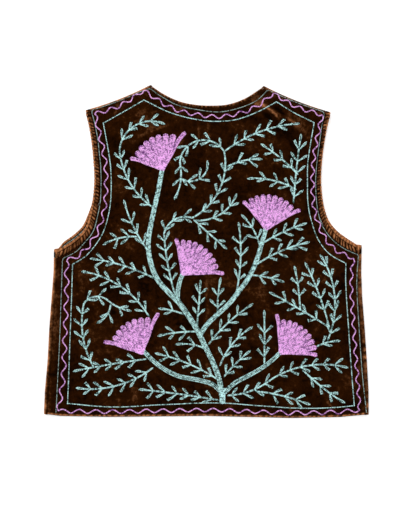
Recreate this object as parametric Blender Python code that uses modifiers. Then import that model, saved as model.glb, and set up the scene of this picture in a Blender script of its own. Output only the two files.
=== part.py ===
"""Embroidered waistcoat, laid flat with its back up: one closed solid for each piece cut and sewn.

Metres, +Z up. +Y runs from the hem to the neck and +X to the right as the back is seen. The two
fronts lie underneath, turn up round the sides and the shoulders, and meet the back at seams on
the upper side. A place on the cloth is given by its reach from the centre line and its height
above the hem, measured on the cloth before it is folded.
"""

from collections import namedtuple
from math import cos, pi, sin

import bmesh
import bpy
from mathutils import Vector

# Cloth and seams
CLOTH = 0.0022
LAYER_GAP = 0.0004
SEAM_GAP = 0.0005
CENTRE_GAP = 0.0006
FOLD_RADIUS = 0.0036
SIDE_WRAP = 0.0065
SHOULDER_WRAP = 0.0050
SHOULDER_SAG = 0.0030

# Lie of the back over the fronts
SIDE_SETTLE = 0.036
SHOULDER_SETTLE = 0.026
LIE_RISE = 0.0009

# Neck and hem
FRONT_NECK_HEIGHT = 0.469
FRONT_NECK_SCOOP = 2.3
BINDING_WIDTH = 0.0036
BINDING_CROWN = 0.0007
BACK_HEM_LIFT = 0.0010
FOLD_PAST_NECK_POINT = 0.00064
HEM_FADE = 0.060

# Gathered armhole bands
GATHERS = 38
SECTIONS_PER_GATHER = 3
GATHER_RISE = 0.0006
GATHER_SWAY = 0.0005
BAND_CROWN = 0.0011
WIDEST_BAND = 0.0125
TURN_OFF_SHARE = 0.10

# Steps of the cloth meshes
SIDE_ROWS_OF_MESH = 13
ARMHOLE_ROWS_OF_MESH = 24
SHOULDER_COLUMNS = 9
NECK_COLUMNS = 17
FRONT_SIDE_ROWS = 6
FRONT_ARMHOLE_ROWS = 18
FRONT_SHOULDER_COLUMNS = 6
FRONT_NECK_COLUMNS = 8
FOLD_STEPS = 6
NECK_SECTIONS = 2 * NECK_COLUMNS
FRONT_NECK_STEPS = 40
SPLINE_STEPS = 16
MERGE_DISTANCE = 0.00002
SHARP_ANGLE = 0.9

SideRow = namedtuple("SideRow", "height left right")
ArmholeRow = namedtuple("ArmholeRow", "reach height band peek")
NeckRow = namedtuple("NeckRow", "x height")
HemRow = namedtuple("HemRow", "x rise")
Fold = namedtuple("Fold", "x0 height0 x1 height1 width rise")
Ring = namedtuple("Ring", "across crown depth")
Half = namedtuple("Half", "name sign tip neck_point armhole")
Pair = namedtuple("Pair", "edge inner")

# How far each side reaches from the centre line, up to the underarm
SIDE_ROWS = (
    SideRow(0.000, 0.2670, 0.2670),
    SideRow(0.040, 0.2655, 0.2668),
    SideRow(0.090, 0.2610, 0.2640),
    SideRow(0.144, 0.2582, 0.2604),
    SideRow(0.196, 0.2542, 0.2562),
    SideRow(0.236, 0.2512, 0.2548),
    SideRow(0.276, 0.2505, 0.2555),
)

# Armhole edge of the back from the underarm to the shoulder: band is the width of its gathered
# band, and peek is how far the front's edge shows beyond it
LEFT_ARMHOLE = (
    ArmholeRow(0.2440, 0.2712, 0.0125, 0.0022),
    ArmholeRow(0.2350, 0.2765, 0.0125, 0.0062),
    ArmholeRow(0.2145, 0.2904, 0.0125, 0.0068),
    ArmholeRow(0.1987, 0.3070, 0.0117, 0.0058),
    ArmholeRow(0.1904, 0.3313, 0.0104, 0.0028),
    ArmholeRow(0.1850, 0.3600, 0.0090, -0.0008),
    ArmholeRow(0.1830, 0.3880, 0.0085, -0.0010),
    ArmholeRow(0.1845, 0.4200, 0.0080, -0.0010),
    ArmholeRow(0.1885, 0.4570, 0.0080, -0.0010),
    ArmholeRow(0.1961, 0.4980, 0.0070, -0.0006),
)
RIGHT_ARMHOLE = (
    ArmholeRow(0.2490, 0.2778, 0.0125, 0.0014),
    ArmholeRow(0.2294, 0.2890, 0.0122, 0.0020),
    ArmholeRow(0.2130, 0.3022, 0.0110, 0.0016),
    ArmholeRow(0.2005, 0.3200, 0.0096, 0.0004),
    ArmholeRow(0.1930, 0.3420, 0.0078, -0.0006),
    ArmholeRow(0.1892, 0.3660, 0.0064, -0.0010),
    ArmholeRow(0.1880, 0.3920, 0.0055, -0.0010),
    ArmholeRow(0.1898, 0.4220, 0.0046, -0.0010),
    ArmholeRow(0.1947, 0.4570, 0.0048, -0.0010),
    ArmholeRow(0.2023, 0.4950, 0.0070, -0.0006),
)

# Neck edge of the back, with its ends on the shoulder seams
BACK_NECK = (
    NeckRow(-0.0873, 0.5403),
    NeckRow(-0.0690, 0.5285),
    NeckRow(-0.0430, 0.5168),
    NeckRow(-0.0165, 0.5113),
    NeckRow(0.0100, 0.5100),
    NeckRow(0.0365, 0.5120),
    NeckRow(0.0640, 0.5216),
    NeckRow(0.0912, 0.5385),
)

# How far the hem line rises above its level at the centre of the back
HEM_ROWS = (
    HemRow(-0.270, 0.0042),
    HemRow(-0.240, 0.0004),
    HemRow(-0.160, -0.0012),
    HemRow(0.000, 0.0004),
    HemRow(0.140, -0.0030),
    HemRow(0.220, -0.0014),
    HemRow(0.270, 0.0032),
)

# Largest folds and creases of the back, each a soft ridge between two places
FOLDS = (
    Fold(-0.130, 0.446, -0.052, 0.484, 0.015, 0.0024),
    Fold(-0.160, 0.430, -0.130, 0.476, 0.014, 0.0016),
    Fold(0.078, 0.508, 0.150, 0.468, 0.013, 0.0026),
    Fold(0.128, 0.498, 0.172, 0.428, 0.015, 0.0014),
    Fold(-0.010, 0.484, -0.018, 0.442, 0.012, 0.0012),
    Fold(0.006, 0.486, 0.002, 0.350, 0.011, 0.0008),
    Fold(-0.002, 0.248, 0.001, 0.004, 0.011, 0.0012),
    Fold(-0.222, 0.246, -0.150, 0.186, 0.017, 0.0020),
    Fold(0.224, 0.248, 0.158, 0.196, 0.016, 0.0018),
    Fold(-0.205, 0.120, -0.196, 0.004, 0.017, 0.0018),
    Fold(-0.112, 0.082, -0.128, 0.002, 0.015, 0.0019),
    Fold(-0.052, 0.060, -0.046, 0.002, 0.014, 0.0013),
    Fold(0.078, 0.074, 0.066, 0.002, 0.015, 0.0017),
    Fold(0.176, 0.096, 0.186, 0.002, 0.016, 0.0018),
    Fold(0.212, 0.150, 0.232, 0.030, 0.014, 0.0014),
)

# Section of a turned band: share of the width from the cloth's edge inwards, share of the crown
# above the cloth, and share of the cloth's thickness below its face
TURNED_BAND = (
    Ring(0.00, 0.00, 0.45),
    Ring(0.12, 0.60, 0.00),
    Ring(0.45, 1.00, 0.00),
    Ring(0.84, 0.45, 0.00),
    Ring(1.00, 0.00, 0.30),
    Ring(0.97, 0.00, 1.00),
    Ring(0.05, 0.00, 1.00),
)
FLAT_BAND = (
    Ring(0.00, 0.00, 0.50),
    Ring(0.08, 0.00, 0.00),
    Ring(1.00, 0.00, 0.00),
    Ring(1.00, 0.00, 1.00),
    Ring(0.08, 0.00, 1.00),
)

LEFT = Half("left", -1, Vector((0.1970, 0.5030)), Vector((0.0924, 0.5437)), LEFT_ARMHOLE)
RIGHT = Half("right", 1, Vector((0.2030, 0.5000)), Vector((0.0965, 0.5420)), RIGHT_ARMHOLE)

HEM_LOW = min(row.rise for row in HEM_ROWS)
MIDDLE = (LEFT.neck_point.y + FOLD_PAST_NECK_POINT + HEM_LOW) / 2
FLAT_BACK = 2 * CLOTH + LAYER_GAP
FOLD_HEIGHT = 2 * FOLD_RADIUS
HALF_TURN = pi * FOLD_RADIUS
LIE_WAVES = Vector((31, 27))

# Colours as linear red, green and blue
VELVET = (0.045, 0.014, 0.004)
VELVET_UNDER = (0.038, 0.012, 0.004)
BAND_VELVET = (0.110, 0.045, 0.020)
BINDING_VELVET = (0.075, 0.029, 0.012)


def ease(share):
    """Smooth step from 0 to 1."""
    share = min(max(share, 0.0), 1.0)
    return share * share * (3 - 2 * share)


def between(rows, place, column):
    """Value of a column at a place between the rows of a table sorted by its first column."""
    for low, high in zip(rows, rows[1:]):
        if place <= high[0]:
            break
    share = (place - low[0]) / (high[0] - low[0])
    share = min(max(share, 0.0), 1.0)
    return low[column] + (high[column] - low[column]) * share


def spline(rows, steps):
    """Evenly spaced points on a smooth curve through rows whose first two columns are a place."""
    knots = [Vector(row) for row in rows]
    lengths = [(b - a).xy.length for a, b in zip(knots, knots[1:])]
    slopes = []
    for i in range(len(knots)):
        first, last = max(i - 1, 0), min(i + 1, len(knots) - 1)
        slopes.append((knots[last] - knots[first]) / sum(lengths[first:last]))
    fine = []
    for i, length in enumerate(lengths):
        for step in range(SPLINE_STEPS):
            t = step / SPLINE_STEPS
            start = knots[i] * (2 * t**3 - 3 * t**2 + 1) + slopes[i] * length * (t**3 - 2 * t**2 + t)
            end = knots[i + 1] * (3 * t**2 - 2 * t**3) + slopes[i + 1] * length * (t**3 - t**2)
            fine.append(start + end)
    fine.append(knots[-1])
    return evenly(fine, steps)


def evenly(points, steps):
    """The same line in equal steps."""
    lengths = [(b - a).xy.length for a, b in zip(points, points[1:])]
    whole = sum(lengths)
    placed, walked, i = [], 0.0, 0
    for step in range(steps):
        target = whole * step / steps
        while walked + lengths[i] < target:
            walked += lengths[i]
            i += 1
        placed.append(points[i].lerp(points[i + 1], (target - walked) / lengths[i]))
    return placed + [points[-1]]


def side_reach(half, height):
    """Reach of the silhouette at the side seam."""
    return between(SIDE_ROWS, height, SideRow._fields.index(half.name))


def shoulder_axes(half):
    """Unit vectors along the shoulder towards the neck, and outwards across it."""
    along = (half.neck_point - half.tip).normalized()
    return along, Vector((along.y, -along.x))


def past_shoulder(half, place):
    """How far a place lies past the shoulder's fold line, across it."""
    along, across = shoulder_axes(half)
    share = (place - half.tip).dot(along) / (half.neck_point - half.tip).length
    share = min(max(share, 0.0), 1.0)
    return (place - half.tip).dot(across) + SHOULDER_SAG * 4 * share * (1 - share) + FOLD_RADIUS


def past_side(half, place):
    """How far a place lies past the side's fold line."""
    return place.x - side_reach(half, place.y) + FOLD_RADIUS


def on_shoulder_line(half, place, inset):
    """The place moved across the shoulder until it lies inset from the silhouette."""
    _, across = shoulder_axes(half)
    return place - across * (past_shoulder(half, place) + inset - FOLD_RADIUS)


def unfolded_at_shoulder(half, place):
    """Where a place on the upper side of the shoulder lies on the front's unfolded cloth."""
    _, across = shoulder_axes(half)
    return place + across * (HALF_TURN - 2 * past_shoulder(half, place))


def unfolded_at_side(half, place):
    """Where a place on the upper side of the side fold lies on the front's unfolded cloth."""
    return place + Vector((HALF_TURN - 2 * past_side(half, place), 0))


def in_space(x, height, z):
    """A point of the finished part."""
    fade = 1 - ease(height / HEM_FADE)
    return Vector((x, height - MIDDLE + between(HEM_ROWS, x, 1) * fade, z))


def fold_rise(x, height):
    """Height that the folds, creases and soft unevenness add to the back."""
    place = Vector((x, height))
    rise = LIE_RISE * (1 + sin(LIE_WAVES.x * x) * cos(LIE_WAVES.y * height)) / 2
    for fold in FOLDS:
        start, end = Vector((fold.x0, fold.height0)), Vector((fold.x1, fold.height1))
        run = end - start
        share = (place - start).dot(run) / run.length_squared
        nearest = start + run * min(max(share, 0.0), 1.0)
        rise += fold.rise * ease(1 - (place - nearest).length / (2 * fold.width))
    return rise


def back_height(x, height):
    """Height of the back's face: level with the folds at the seams, settling onto the fronts."""
    half = LEFT if x < 0 else RIGHT
    place = Vector((abs(x), height))
    corner = half.armhole[0].height
    from_side = side_reach(half, min(height, corner)) - SIDE_WRAP - place.x
    from_side += max(height - corner, 0.0)
    from_shoulder = -past_shoulder(half, place) - (SHOULDER_WRAP - FOLD_RADIUS)
    lifted = ease(1 - from_side / SIDE_SETTLE)
    raised = ease(1 - from_shoulder / SHOULDER_SETTLE)
    level = 1 - (1 - lifted) * (1 - raised)
    free = (1 - level) * fold_rise(x, height)
    return FLAT_BACK + (FOLD_HEIGHT - FLAT_BACK) * level + free


def lay_back(x, height, depth):
    """A point of the back, depth below its face."""
    return in_space(x, height, back_height(x, height) - depth)


def lay_front(half, place, depth):
    """A point of a front, depth inside its outer face, turned up past the fold lines."""
    side, shoulder = past_side(half, place), past_shoulder(half, place)
    if side > 0 and place.y < half.armhole[1].height:
        past, across = side, Vector((1, 0))
    elif shoulder > 0:
        past, across = shoulder, shoulder_axes(half)[1]
    else:
        return in_space(half.sign * place.x, place.y, depth)
    foot = place - across * past
    if past < HALF_TURN:
        angle = past / FOLD_RADIUS
        radius = FOLD_RADIUS - depth
        spot = foot + across * (radius * sin(angle))
        z = FOLD_RADIUS - radius * cos(angle)
    else:
        spot = foot - across * (past - HALF_TURN)
        z = FOLD_HEIGHT - depth
    return in_space(half.sign * spot.x, spot.y, z)


def rails(places, widths, first, last, turn):
    """Pairs along a line and a band's width inwards, square to the line but for its set ends."""
    pairs = []
    for i, place in enumerate(places):
        before, after = places[max(i - 1, 0)], places[min(i + 1, len(places) - 1)]
        run = (after - before).xy.normalized()
        inward = Vector((-run.y, run.x)) * turn
        share = i / (len(places) - 1)
        inward = inward.lerp(first, 1 - ease(share / TURN_OFF_SHARE))
        inward = inward.lerp(last, 1 - ease((1 - share) / TURN_OFF_SHARE)).normalized()
        pairs.append(Pair(place.xy, place.xy + inward * widths[i]))
    return pairs


def back_armhole(half, steps):
    """Rails of the back's armhole band from the side seam to the shoulder seam."""
    places = spline(half.armhole, steps)
    along, _ = shoulder_axes(half)
    pairs = rails(places, [p.z for p in places], Vector((0, -1)), along, 1)
    end = pairs[-1]
    pairs[-1] = Pair(
        on_shoulder_line(half, end.edge, SHOULDER_WRAP),
        on_shoulder_line(half, end.inner, SHOULDER_WRAP),
    )
    return pairs


def fold_stops(start, end):
    """Shares of the way from a fold line to the seam beyond it: steps round the fold, then the seam."""
    way = (end - start).length
    steps = [HALF_TURN * step / FOLD_STEPS / way for step in range(1, FOLD_STEPS + 1)]
    return steps + [1 - SEAM_GAP / way]


def folded_end(start, end):
    """Pairs from a fold line, its own left out, to the seam beyond it."""
    stops = fold_stops(start.edge, end.edge)
    return [Pair(start.edge.lerp(end.edge, t), start.inner.lerp(end.inner, t)) for t in stops]


def front_armhole(half):
    """Rails of the front's armhole band: round the side fold, up the front, round the shoulder."""
    back = back_armhole(half, FRONT_ARMHOLE_ROWS)
    rows = spline(half.armhole, FRONT_ARMHOLE_ROWS)
    places = []
    for pair, row in zip(back, rows):
        outward = (pair.edge - pair.inner).normalized()
        places.append(pair.edge + outward * row.w)
    places[0].x += SIDE_WRAP - FOLD_RADIUS
    places[-1] = on_shoulder_line(half, places[-1], FOLD_RADIUS)
    along, _ = shoulder_axes(half)
    pairs = rails(places, [row.z for row in rows], Vector((0, -1)), along, 1)
    pairs[-1] = Pair(*(on_shoulder_line(half, place, FOLD_RADIUS) for place in pairs[-1]))
    side_seam = Pair(*(unfolded_at_side(half, place) for place in back[0]))
    shoulder_seam = Pair(*(unfolded_at_shoulder(half, place) for place in back[-1]))
    return folded_end(pairs[0], side_seam), pairs, folded_end(pairs[-1], shoulder_seam)


def back_neck():
    """Rails of the back's neck binding from the left shoulder seam to the right one."""
    places = spline(BACK_NECK, NECK_SECTIONS)
    ends = []
    for half in (LEFT, RIGHT):
        along, _ = shoulder_axes(half)
        ends.append(Vector((-half.sign * along.x, -along.y)))
    return rails(places, [BINDING_WIDTH] * len(places), ends[0], ends[1], -1)


def front_neck(half):
    """Rails of a front's neck binding: up from the centre edge, then round the shoulder fold."""
    top = on_shoulder_line(half, half.neck_point, FOLD_RADIUS)
    low = Vector((CENTRE_GAP / 2, FRONT_NECK_HEIGHT))
    places = []
    for step in range(FRONT_NECK_STEPS + 1):
        share = step / FRONT_NECK_STEPS
        size = top - low
        places.append(low + Vector((size.x * share, size.y * share**FRONT_NECK_SCOOP)))
    places = evenly(places, FRONT_NECK_COLUMNS)
    along, _ = shoulder_axes(half)
    pairs = rails(places, [BINDING_WIDTH] * len(places), Vector((0, -1)), -along, -1)
    pairs[-1] = Pair(*(on_shoulder_line(half, place, FOLD_RADIUS) for place in pairs[-1]))
    back = back_neck()
    seam = back[0] if half is LEFT else back[-1]
    ends = (Vector((half.sign * place.x, place.y)) for place in seam)
    return pairs, folded_end(pairs[-1], Pair(*(unfolded_at_shoulder(half, end) for end in ends)))


def clear_of(pair):
    """The place of a panel beside a band's inner edge."""
    return pair.inner + (pair.inner - pair.edge).normalized() * SEAM_GAP


def in_steps(start, end, steps):
    """Places in equal steps from start to end."""
    return [start.lerp(end, step / steps) for step in range(steps + 1)]


def filled(left, right, top, level_rows):
    """Rows of places between two edges, the upper rows bending gradually up to the top line."""
    columns = len(top) - 1
    rows = []
    for i, (start, end) in enumerate(zip(left, right)):
        bend = ease((i - level_rows) / (len(left) - 1 - level_rows))
        row = []
        for c in range(columns + 1):
            lift = top[c] - left[-1].lerp(right[-1], c / columns)
            row.append(start.lerp(end, c / columns) + lift * bend)
        rows.append(row)
    return rows


def signed(half, places):
    """Reach and height as x and height."""
    return [Vector((half.sign * place.x, place.y)) for place in places]


def back_side_line(half):
    """Outer edge of the back panel from the hem to the shoulder, inside the armhole band."""
    band = [clear_of(pair) for pair in back_armhole(half, ARMHOLE_ROWS_OF_MESH)]
    line = []
    for row in range(SIDE_ROWS_OF_MESH):
        height = BACK_HEM_LIFT + (band[0].y - BACK_HEM_LIFT) * row / SIDE_ROWS_OF_MESH
        line.append(Vector((side_reach(half, height) - SIDE_WRAP, height)))
    return line + band[:-1] + [on_shoulder_line(half, band[-1], SHOULDER_WRAP)]


def back_rows():
    """Places of the back panel's mesh."""
    lines = {half.name: back_side_line(half) for half in (LEFT, RIGHT)}
    neck = [clear_of(pair) for pair in back_neck()][::NECK_SECTIONS // NECK_COLUMNS]
    shoulders = {}
    for half, corner in ((LEFT, neck[0]), (RIGHT, neck[-1])):
        inner = signed(half, [corner])[0]
        seam = in_steps(lines[half.name][-1], inner, SHOULDER_COLUMNS)
        seam = [on_shoulder_line(half, place, SHOULDER_WRAP) for place in seam]
        shoulders[half.name] = signed(half, seam)
    top = shoulders["left"][:-1] + neck + shoulders["right"][-2::-1]
    left, right = signed(LEFT, lines["left"]), signed(RIGHT, lines["right"])
    top[0], top[-1] = left[-1], right[-1]
    return filled(left, right, top, SIDE_ROWS_OF_MESH)


def front_patches(half):
    """Places of a front panel's mesh: the flat part, then the strips round the side and shoulder."""
    side_end, band, shoulder_end = front_armhole(half)
    neck, neck_end = front_neck(half)
    corner = clear_of(band[0])
    outer, strip = [], []
    for row in range(FRONT_SIDE_ROWS):
        height = corner.y * row / FRONT_SIDE_ROWS
        fold = Vector((side_reach(half, height) - FOLD_RADIUS, height))
        seam = unfolded_at_side(half, Vector((side_reach(half, height) - SIDE_WRAP, height)))
        outer.append(fold)
        strip.append([fold.lerp(seam, t) for t in fold_stops(fold, seam)])
    strip.append([clear_of(pair) for pair in side_end])
    outer += [clear_of(pair) for pair in band]
    outer[-1] = on_shoulder_line(half, outer[-1], FOLD_RADIUS)
    neck_line = [clear_of(pair) for pair in neck]
    neck_line[-1] = on_shoulder_line(half, neck_line[-1], FOLD_RADIUS)
    inner = [Vector((CENTRE_GAP / 2, place.y)) for place in outer[:FRONT_SIDE_ROWS]]
    start = Vector((CENTRE_GAP / 2, corner.y))
    inner += in_steps(start, neck_line[0], FRONT_ARMHOLE_ROWS)
    shoulder = in_steps(neck_line[-1], outer[-1], FRONT_SHOULDER_COLUMNS)
    shoulder = [on_shoulder_line(half, place, FOLD_RADIUS) for place in shoulder]
    flat = filled(inner, outer, neck_line + shoulder[1:], FRONT_SIDE_ROWS)
    turned = []
    for near, far in zip(neck_end, shoulder_end):
        ends = clear_of(near), clear_of(far)
        wanted = [past_shoulder(half, place) for place in ends]
        row = []
        for step, place in enumerate(in_steps(*ends, FRONT_SHOULDER_COLUMNS)):
            past = wanted[0] + (wanted[1] - wanted[0]) * step / FRONT_SHOULDER_COLUMNS
            row.append(on_shoulder_line(half, place, FOLD_RADIUS - past))
        turned.append(row)
    return flat, strip, turned


def finish(name, mesh, colour, parts):
    """The mesh as a named object with its own material."""
    material = bpy.data.materials.new(name)
    material.use_nodes = True
    shader = material.node_tree.nodes["Principled BSDF"]
    shader.inputs["Base Color"].default_value = (*colour, 1)
    shader.inputs["Roughness"].default_value = 0.85
    shader.inputs["Metallic"].default_value = 0
    mesh.materials.append(material)
    mesh.shade_smooth()
    mesh.set_sharp_from_angle(angle=SHARP_ANGLE)
    piece = bpy.data.objects.new(name, mesh)
    parts.objects.link(piece)
    return piece


def cloth(name, patches, colour, parts):
    """A wall of cloth from patches of points that share their seams, its outer face as given."""
    mesh = bpy.data.meshes.new(name)
    work = bmesh.new()
    for patch in patches:
        corners = [[work.verts.new(point) for point in row] for row in patch]
        for low, high in zip(corners, corners[1:]):
            for a, b, c, d in zip(low, low[1:], high[1:], high):
                work.faces.new((a, b, c, d))
    bmesh.ops.remove_doubles(work, verts=work.verts, dist=MERGE_DISTANCE)
    work.to_mesh(mesh)
    work.free()
    piece = finish(name, mesh, colour, parts)
    wall = piece.modifiers.new("Wall", "SOLIDIFY")
    wall.thickness = CLOTH
    wall.offset = -1
    wall.use_even_offset = True
    wall.use_quality_normals = True
    return piece


def loft(name, sections, colour, parts):
    """A closed strip through sections of equal point count, with both ends capped."""
    mesh = bpy.data.meshes.new(name)
    work = bmesh.new()
    rings = [[work.verts.new(point) for point in section] for section in sections]
    for ring, after in zip(rings, rings[1:]):
        for i, corner in enumerate(ring):
            k = (i + 1) % len(ring)
            work.faces.new((corner, ring[k], after[k], after[i]))
    work.faces.new(rings[0][::-1])
    work.faces.new(rings[-1])
    bmesh.ops.recalc_face_normals(work, faces=work.faces)
    work.to_mesh(mesh)
    work.free()
    return finish(name, mesh, colour, parts)


def back_panel(parts):
    """The back, lying on the fronts with its folds."""
    points = [[lay_back(place.x, place.y, 0) for place in row] for row in back_rows()]
    cloth("back", [points], VELVET, parts)


def front_panel(half, parts):
    """A front, flat on the surface and turned up round the side and the shoulder."""
    flat, strip, turned = front_patches(half)
    strip_rows = [[row[-1]] + beyond for row, beyond in zip(flat, strip)]
    shoulder_rows = [flat[-1][FRONT_NECK_COLUMNS:]] + turned
    patches = []
    for patch in (flat, strip_rows, shoulder_rows):
        points = [[lay_front(half, place, 0) for place in row] for row in patch]
        patches.append(points[::-1] if half.sign > 0 else points)
    cloth(f"front_{half.name}", patches, VELVET_UNDER, parts)


def back_band(half, parts):
    """Gathered band on the back's armhole edge."""
    steps = GATHERS * SECTIONS_PER_GATHER
    sections = []
    for i, (edge, inner) in enumerate(back_armhole(half, steps)):
        fullness = (inner - edge).length / WIDEST_BAND
        wave = sin(2 * pi * i / SECTIONS_PER_GATHER) * fullness
        inward = (inner - edge).normalized()
        section = []
        for ring in TURNED_BAND:
            place = edge.lerp(inner, ring.across)
            place = place - inward * GATHER_SWAY * wave * (1 - ring.across)
            crown = ring.crown * (BAND_CROWN + GATHER_RISE * wave)
            section.append(lay_back(half.sign * place.x, place.y, ring.depth * CLOTH - crown))
        sections.append(section)
    loft(f"armhole_band_back_{half.name}", sections, BAND_VELVET, parts)


def flat_strip(name, half, pairs, colour, parts):
    """Band or binding of a front, as thick as the cloth."""
    sections = []
    for edge, inner in pairs:
        places = [(edge.lerp(inner, ring.across), ring.depth * CLOTH) for ring in FLAT_BAND]
        sections.append([lay_front(half, place, depth) for place, depth in places])
    loft(name, sections, colour, parts)


def neck_binding_back(parts):
    """Narrow roll on the back's neck edge."""
    sections = []
    for edge, inner in back_neck():
        section = []
        for ring in TURNED_BAND:
            place = edge.lerp(inner, ring.across)
            depth = ring.depth * CLOTH - ring.crown * BINDING_CROWN
            section.append(lay_back(place.x, place.y, depth))
        sections.append(section)
    loft("neck_binding_back", sections, BINDING_VELVET, parts)


def main():
    for old in list(bpy.data.objects):
        bpy.data.objects.remove(old, do_unlink=True)
    parts = bpy.data.collections.new("Waistcoat")
    bpy.context.scene.collection.children.link(parts)
    back_panel(parts)
    neck_binding_back(parts)
    for half in (LEFT, RIGHT):
        front_panel(half, parts)
        back_band(half, parts)
        side_end, band, shoulder_end = front_armhole(half)
        pairs = side_end[::-1] + band + shoulder_end
        flat_strip(f"armhole_band_front_{half.name}", half, pairs, BAND_VELVET, parts)
        neck, neck_end = front_neck(half)
        flat_strip(f"neck_binding_front_{half.name}", half, neck + neck_end, BINDING_VELVET, parts)


main()
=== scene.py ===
"""Embroidered waistcoat laid flat: velvet panels, gathered bands, bindings and chain stitch.

Metres. A place on the cloth is given by its reach from the centre line, or its signed x, and its
height above the hem, as in the part's source, whose sizes are repeated here.
"""

from collections import namedtuple
from math import cos, pi, radians, sin

import bmesh
import bpy
import numpy as np
from bpy.props import FloatProperty, FloatVectorProperty, IntProperty, PointerProperty
from bpy.types import Operator, Panel, PropertyGroup
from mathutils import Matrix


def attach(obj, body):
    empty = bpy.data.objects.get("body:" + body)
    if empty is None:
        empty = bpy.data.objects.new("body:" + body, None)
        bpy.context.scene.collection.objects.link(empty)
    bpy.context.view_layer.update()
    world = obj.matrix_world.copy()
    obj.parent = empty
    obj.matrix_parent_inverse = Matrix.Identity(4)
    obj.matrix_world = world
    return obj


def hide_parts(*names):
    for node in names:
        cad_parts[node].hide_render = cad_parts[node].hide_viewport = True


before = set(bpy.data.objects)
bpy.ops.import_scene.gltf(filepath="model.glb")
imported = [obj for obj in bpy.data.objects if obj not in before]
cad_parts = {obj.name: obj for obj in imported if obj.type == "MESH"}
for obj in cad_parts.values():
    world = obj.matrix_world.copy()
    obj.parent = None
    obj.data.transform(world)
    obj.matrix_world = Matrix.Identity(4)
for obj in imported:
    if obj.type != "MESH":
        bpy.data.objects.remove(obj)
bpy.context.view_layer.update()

bl_info = {
    "name": "Embroidered waistcoat",
    "version": (1, 0, 0),
    "blender": (4, 5, 0),
    "location": "View3D > Sidebar > Waistcoat",
    "description": "Sews the velvet panels, bands, bindings and embroidery of a waistcoat",
    "category": "Object",
}

# Cloth and seams
CLOTH = 0.0022
LAYER_GAP = 0.0004
SEAM_GAP = 0.0005
SEAM_OVERLAP = 0.0002
CENTRE_GAP = 0.0006

# Fold of the fronts, and how far inside the outline they meet the back
FOLD_RADIUS = 0.0036
SIDE_WRAP = 0.0065
SHOULDER_WRAP = 0.0050
SHOULDER_SAG = 0.0030
FOLD_PAST_NECK_POINT = 0.00064

# How far from its seams the back settles onto the fronts, and how unevenly it lies there
SIDE_SETTLE = 0.036
SHOULDER_SETTLE = 0.026
LIE_RISE = 0.0009
LIE_WAVES = (31, 27)

# Neck of the fronts, hem of the back, and bands: a band turns square to its edge within a share
# of its length, and a gather slants across it by so many gathers
FRONT_NECK_HEIGHT = 0.469
FRONT_NECK_SCOOP = 2.3
BACK_HEM_LIFT = 0.0010
HEM_FADE = 0.060
BINDING_WIDTH = 0.0036
WIDEST_BAND = 0.0125
TURN_OFF_SHARE = 0.10
GATHER_SLANT = 1.5

# Steps of the meshes and of the lines
HEM_EDGE_HEIGHTS = (0.0010, 0.0015, 0.0022, 0.0031, 0.0043, 0.0058, 0.0078)
SIDE_ROWS_OF_MESH = 80
ARMHOLE_ROWS_OF_MESH = 84
SHOULDER_COLUMNS = 40
NECK_COLUMNS = 72
FRONT_SIDE_ROWS = 44
FRONT_ARMHOLE_ROWS = 60
FRONT_SHOULDER_COLUMNS = 24
FRONT_NECK_COLUMNS = 30
FOLD_STEPS = 12
SECTIONS_PER_GATHER = 8
BAND_SECTIONS_OF_FRONT = 240
BINDING_SECTIONS = 300
FRONT_BINDING_SECTIONS = 140
FRONT_NECK_STEPS = 120
SPLINE_STEPS = 16
BORDER_STEPS = 160
WAVE_STEPS = 240
OUTER_LINE_STEPS = 2000
STEM_STEPS = 120
SHORT_STEM_STEPS = 20
RIB_STEPS = 40
LEAF_STEPS = 8
FINGER_STEPS = 59
MERGE_DISTANCE = 0.00002
SLOPE_STEP = 0.0006

SideRow = namedtuple("SideRow", "height left right")
ArmholeRow = namedtuple("ArmholeRow", "reach height band peek")
NeckRow = namedtuple("NeckRow", "x height")
HemRow = namedtuple("HemRow", "x rise")
Fold = namedtuple("Fold", "x0 height0 x1 height1 width rise")
Crease = namedtuple("Crease", "x0 height0 x1 height1 bow width rise")
Ring = namedtuple("Ring", "across crown depth")
WornAndSheen = namedtuple("WornAndSheen", "more fade")
HemForm = namedtuple("HemForm", "rise height width")
Half = namedtuple("Half", "name sign tip neck_point armhole")
Knot = namedtuple("Knot", "outer_x outer_height inner_x inner_height")
Run = namedtuple("Run", "name waves swing corner knots")
Stem = namedtuple("Stem", "rows first_gap last_gap knots")
Sprig = namedtuple("Sprig", "x0 height0 x1 height1 turn first pairs ends")
Fan = namedtuple("Fan", "name foot first_tip last_tip petals first_edge last_edge")
Slit = namedtuple("Slit", "width start run")
Course = namedtuple("Course", "line width pitch")
Dashes = namedtuple("Dashes", "from_seam pitch length width")
Lamp = namedtuple("Lamp", "name place size share")

# How far each side reaches from the centre line, up to the underarm
SIDE_ROWS = (
    SideRow(0.000, 0.2670, 0.2670),
    SideRow(0.040, 0.2655, 0.2668),
    SideRow(0.090, 0.2610, 0.2640),
    SideRow(0.144, 0.2582, 0.2604),
    SideRow(0.196, 0.2542, 0.2562),
    SideRow(0.236, 0.2512, 0.2548),
    SideRow(0.276, 0.2505, 0.2555),
)

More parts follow.
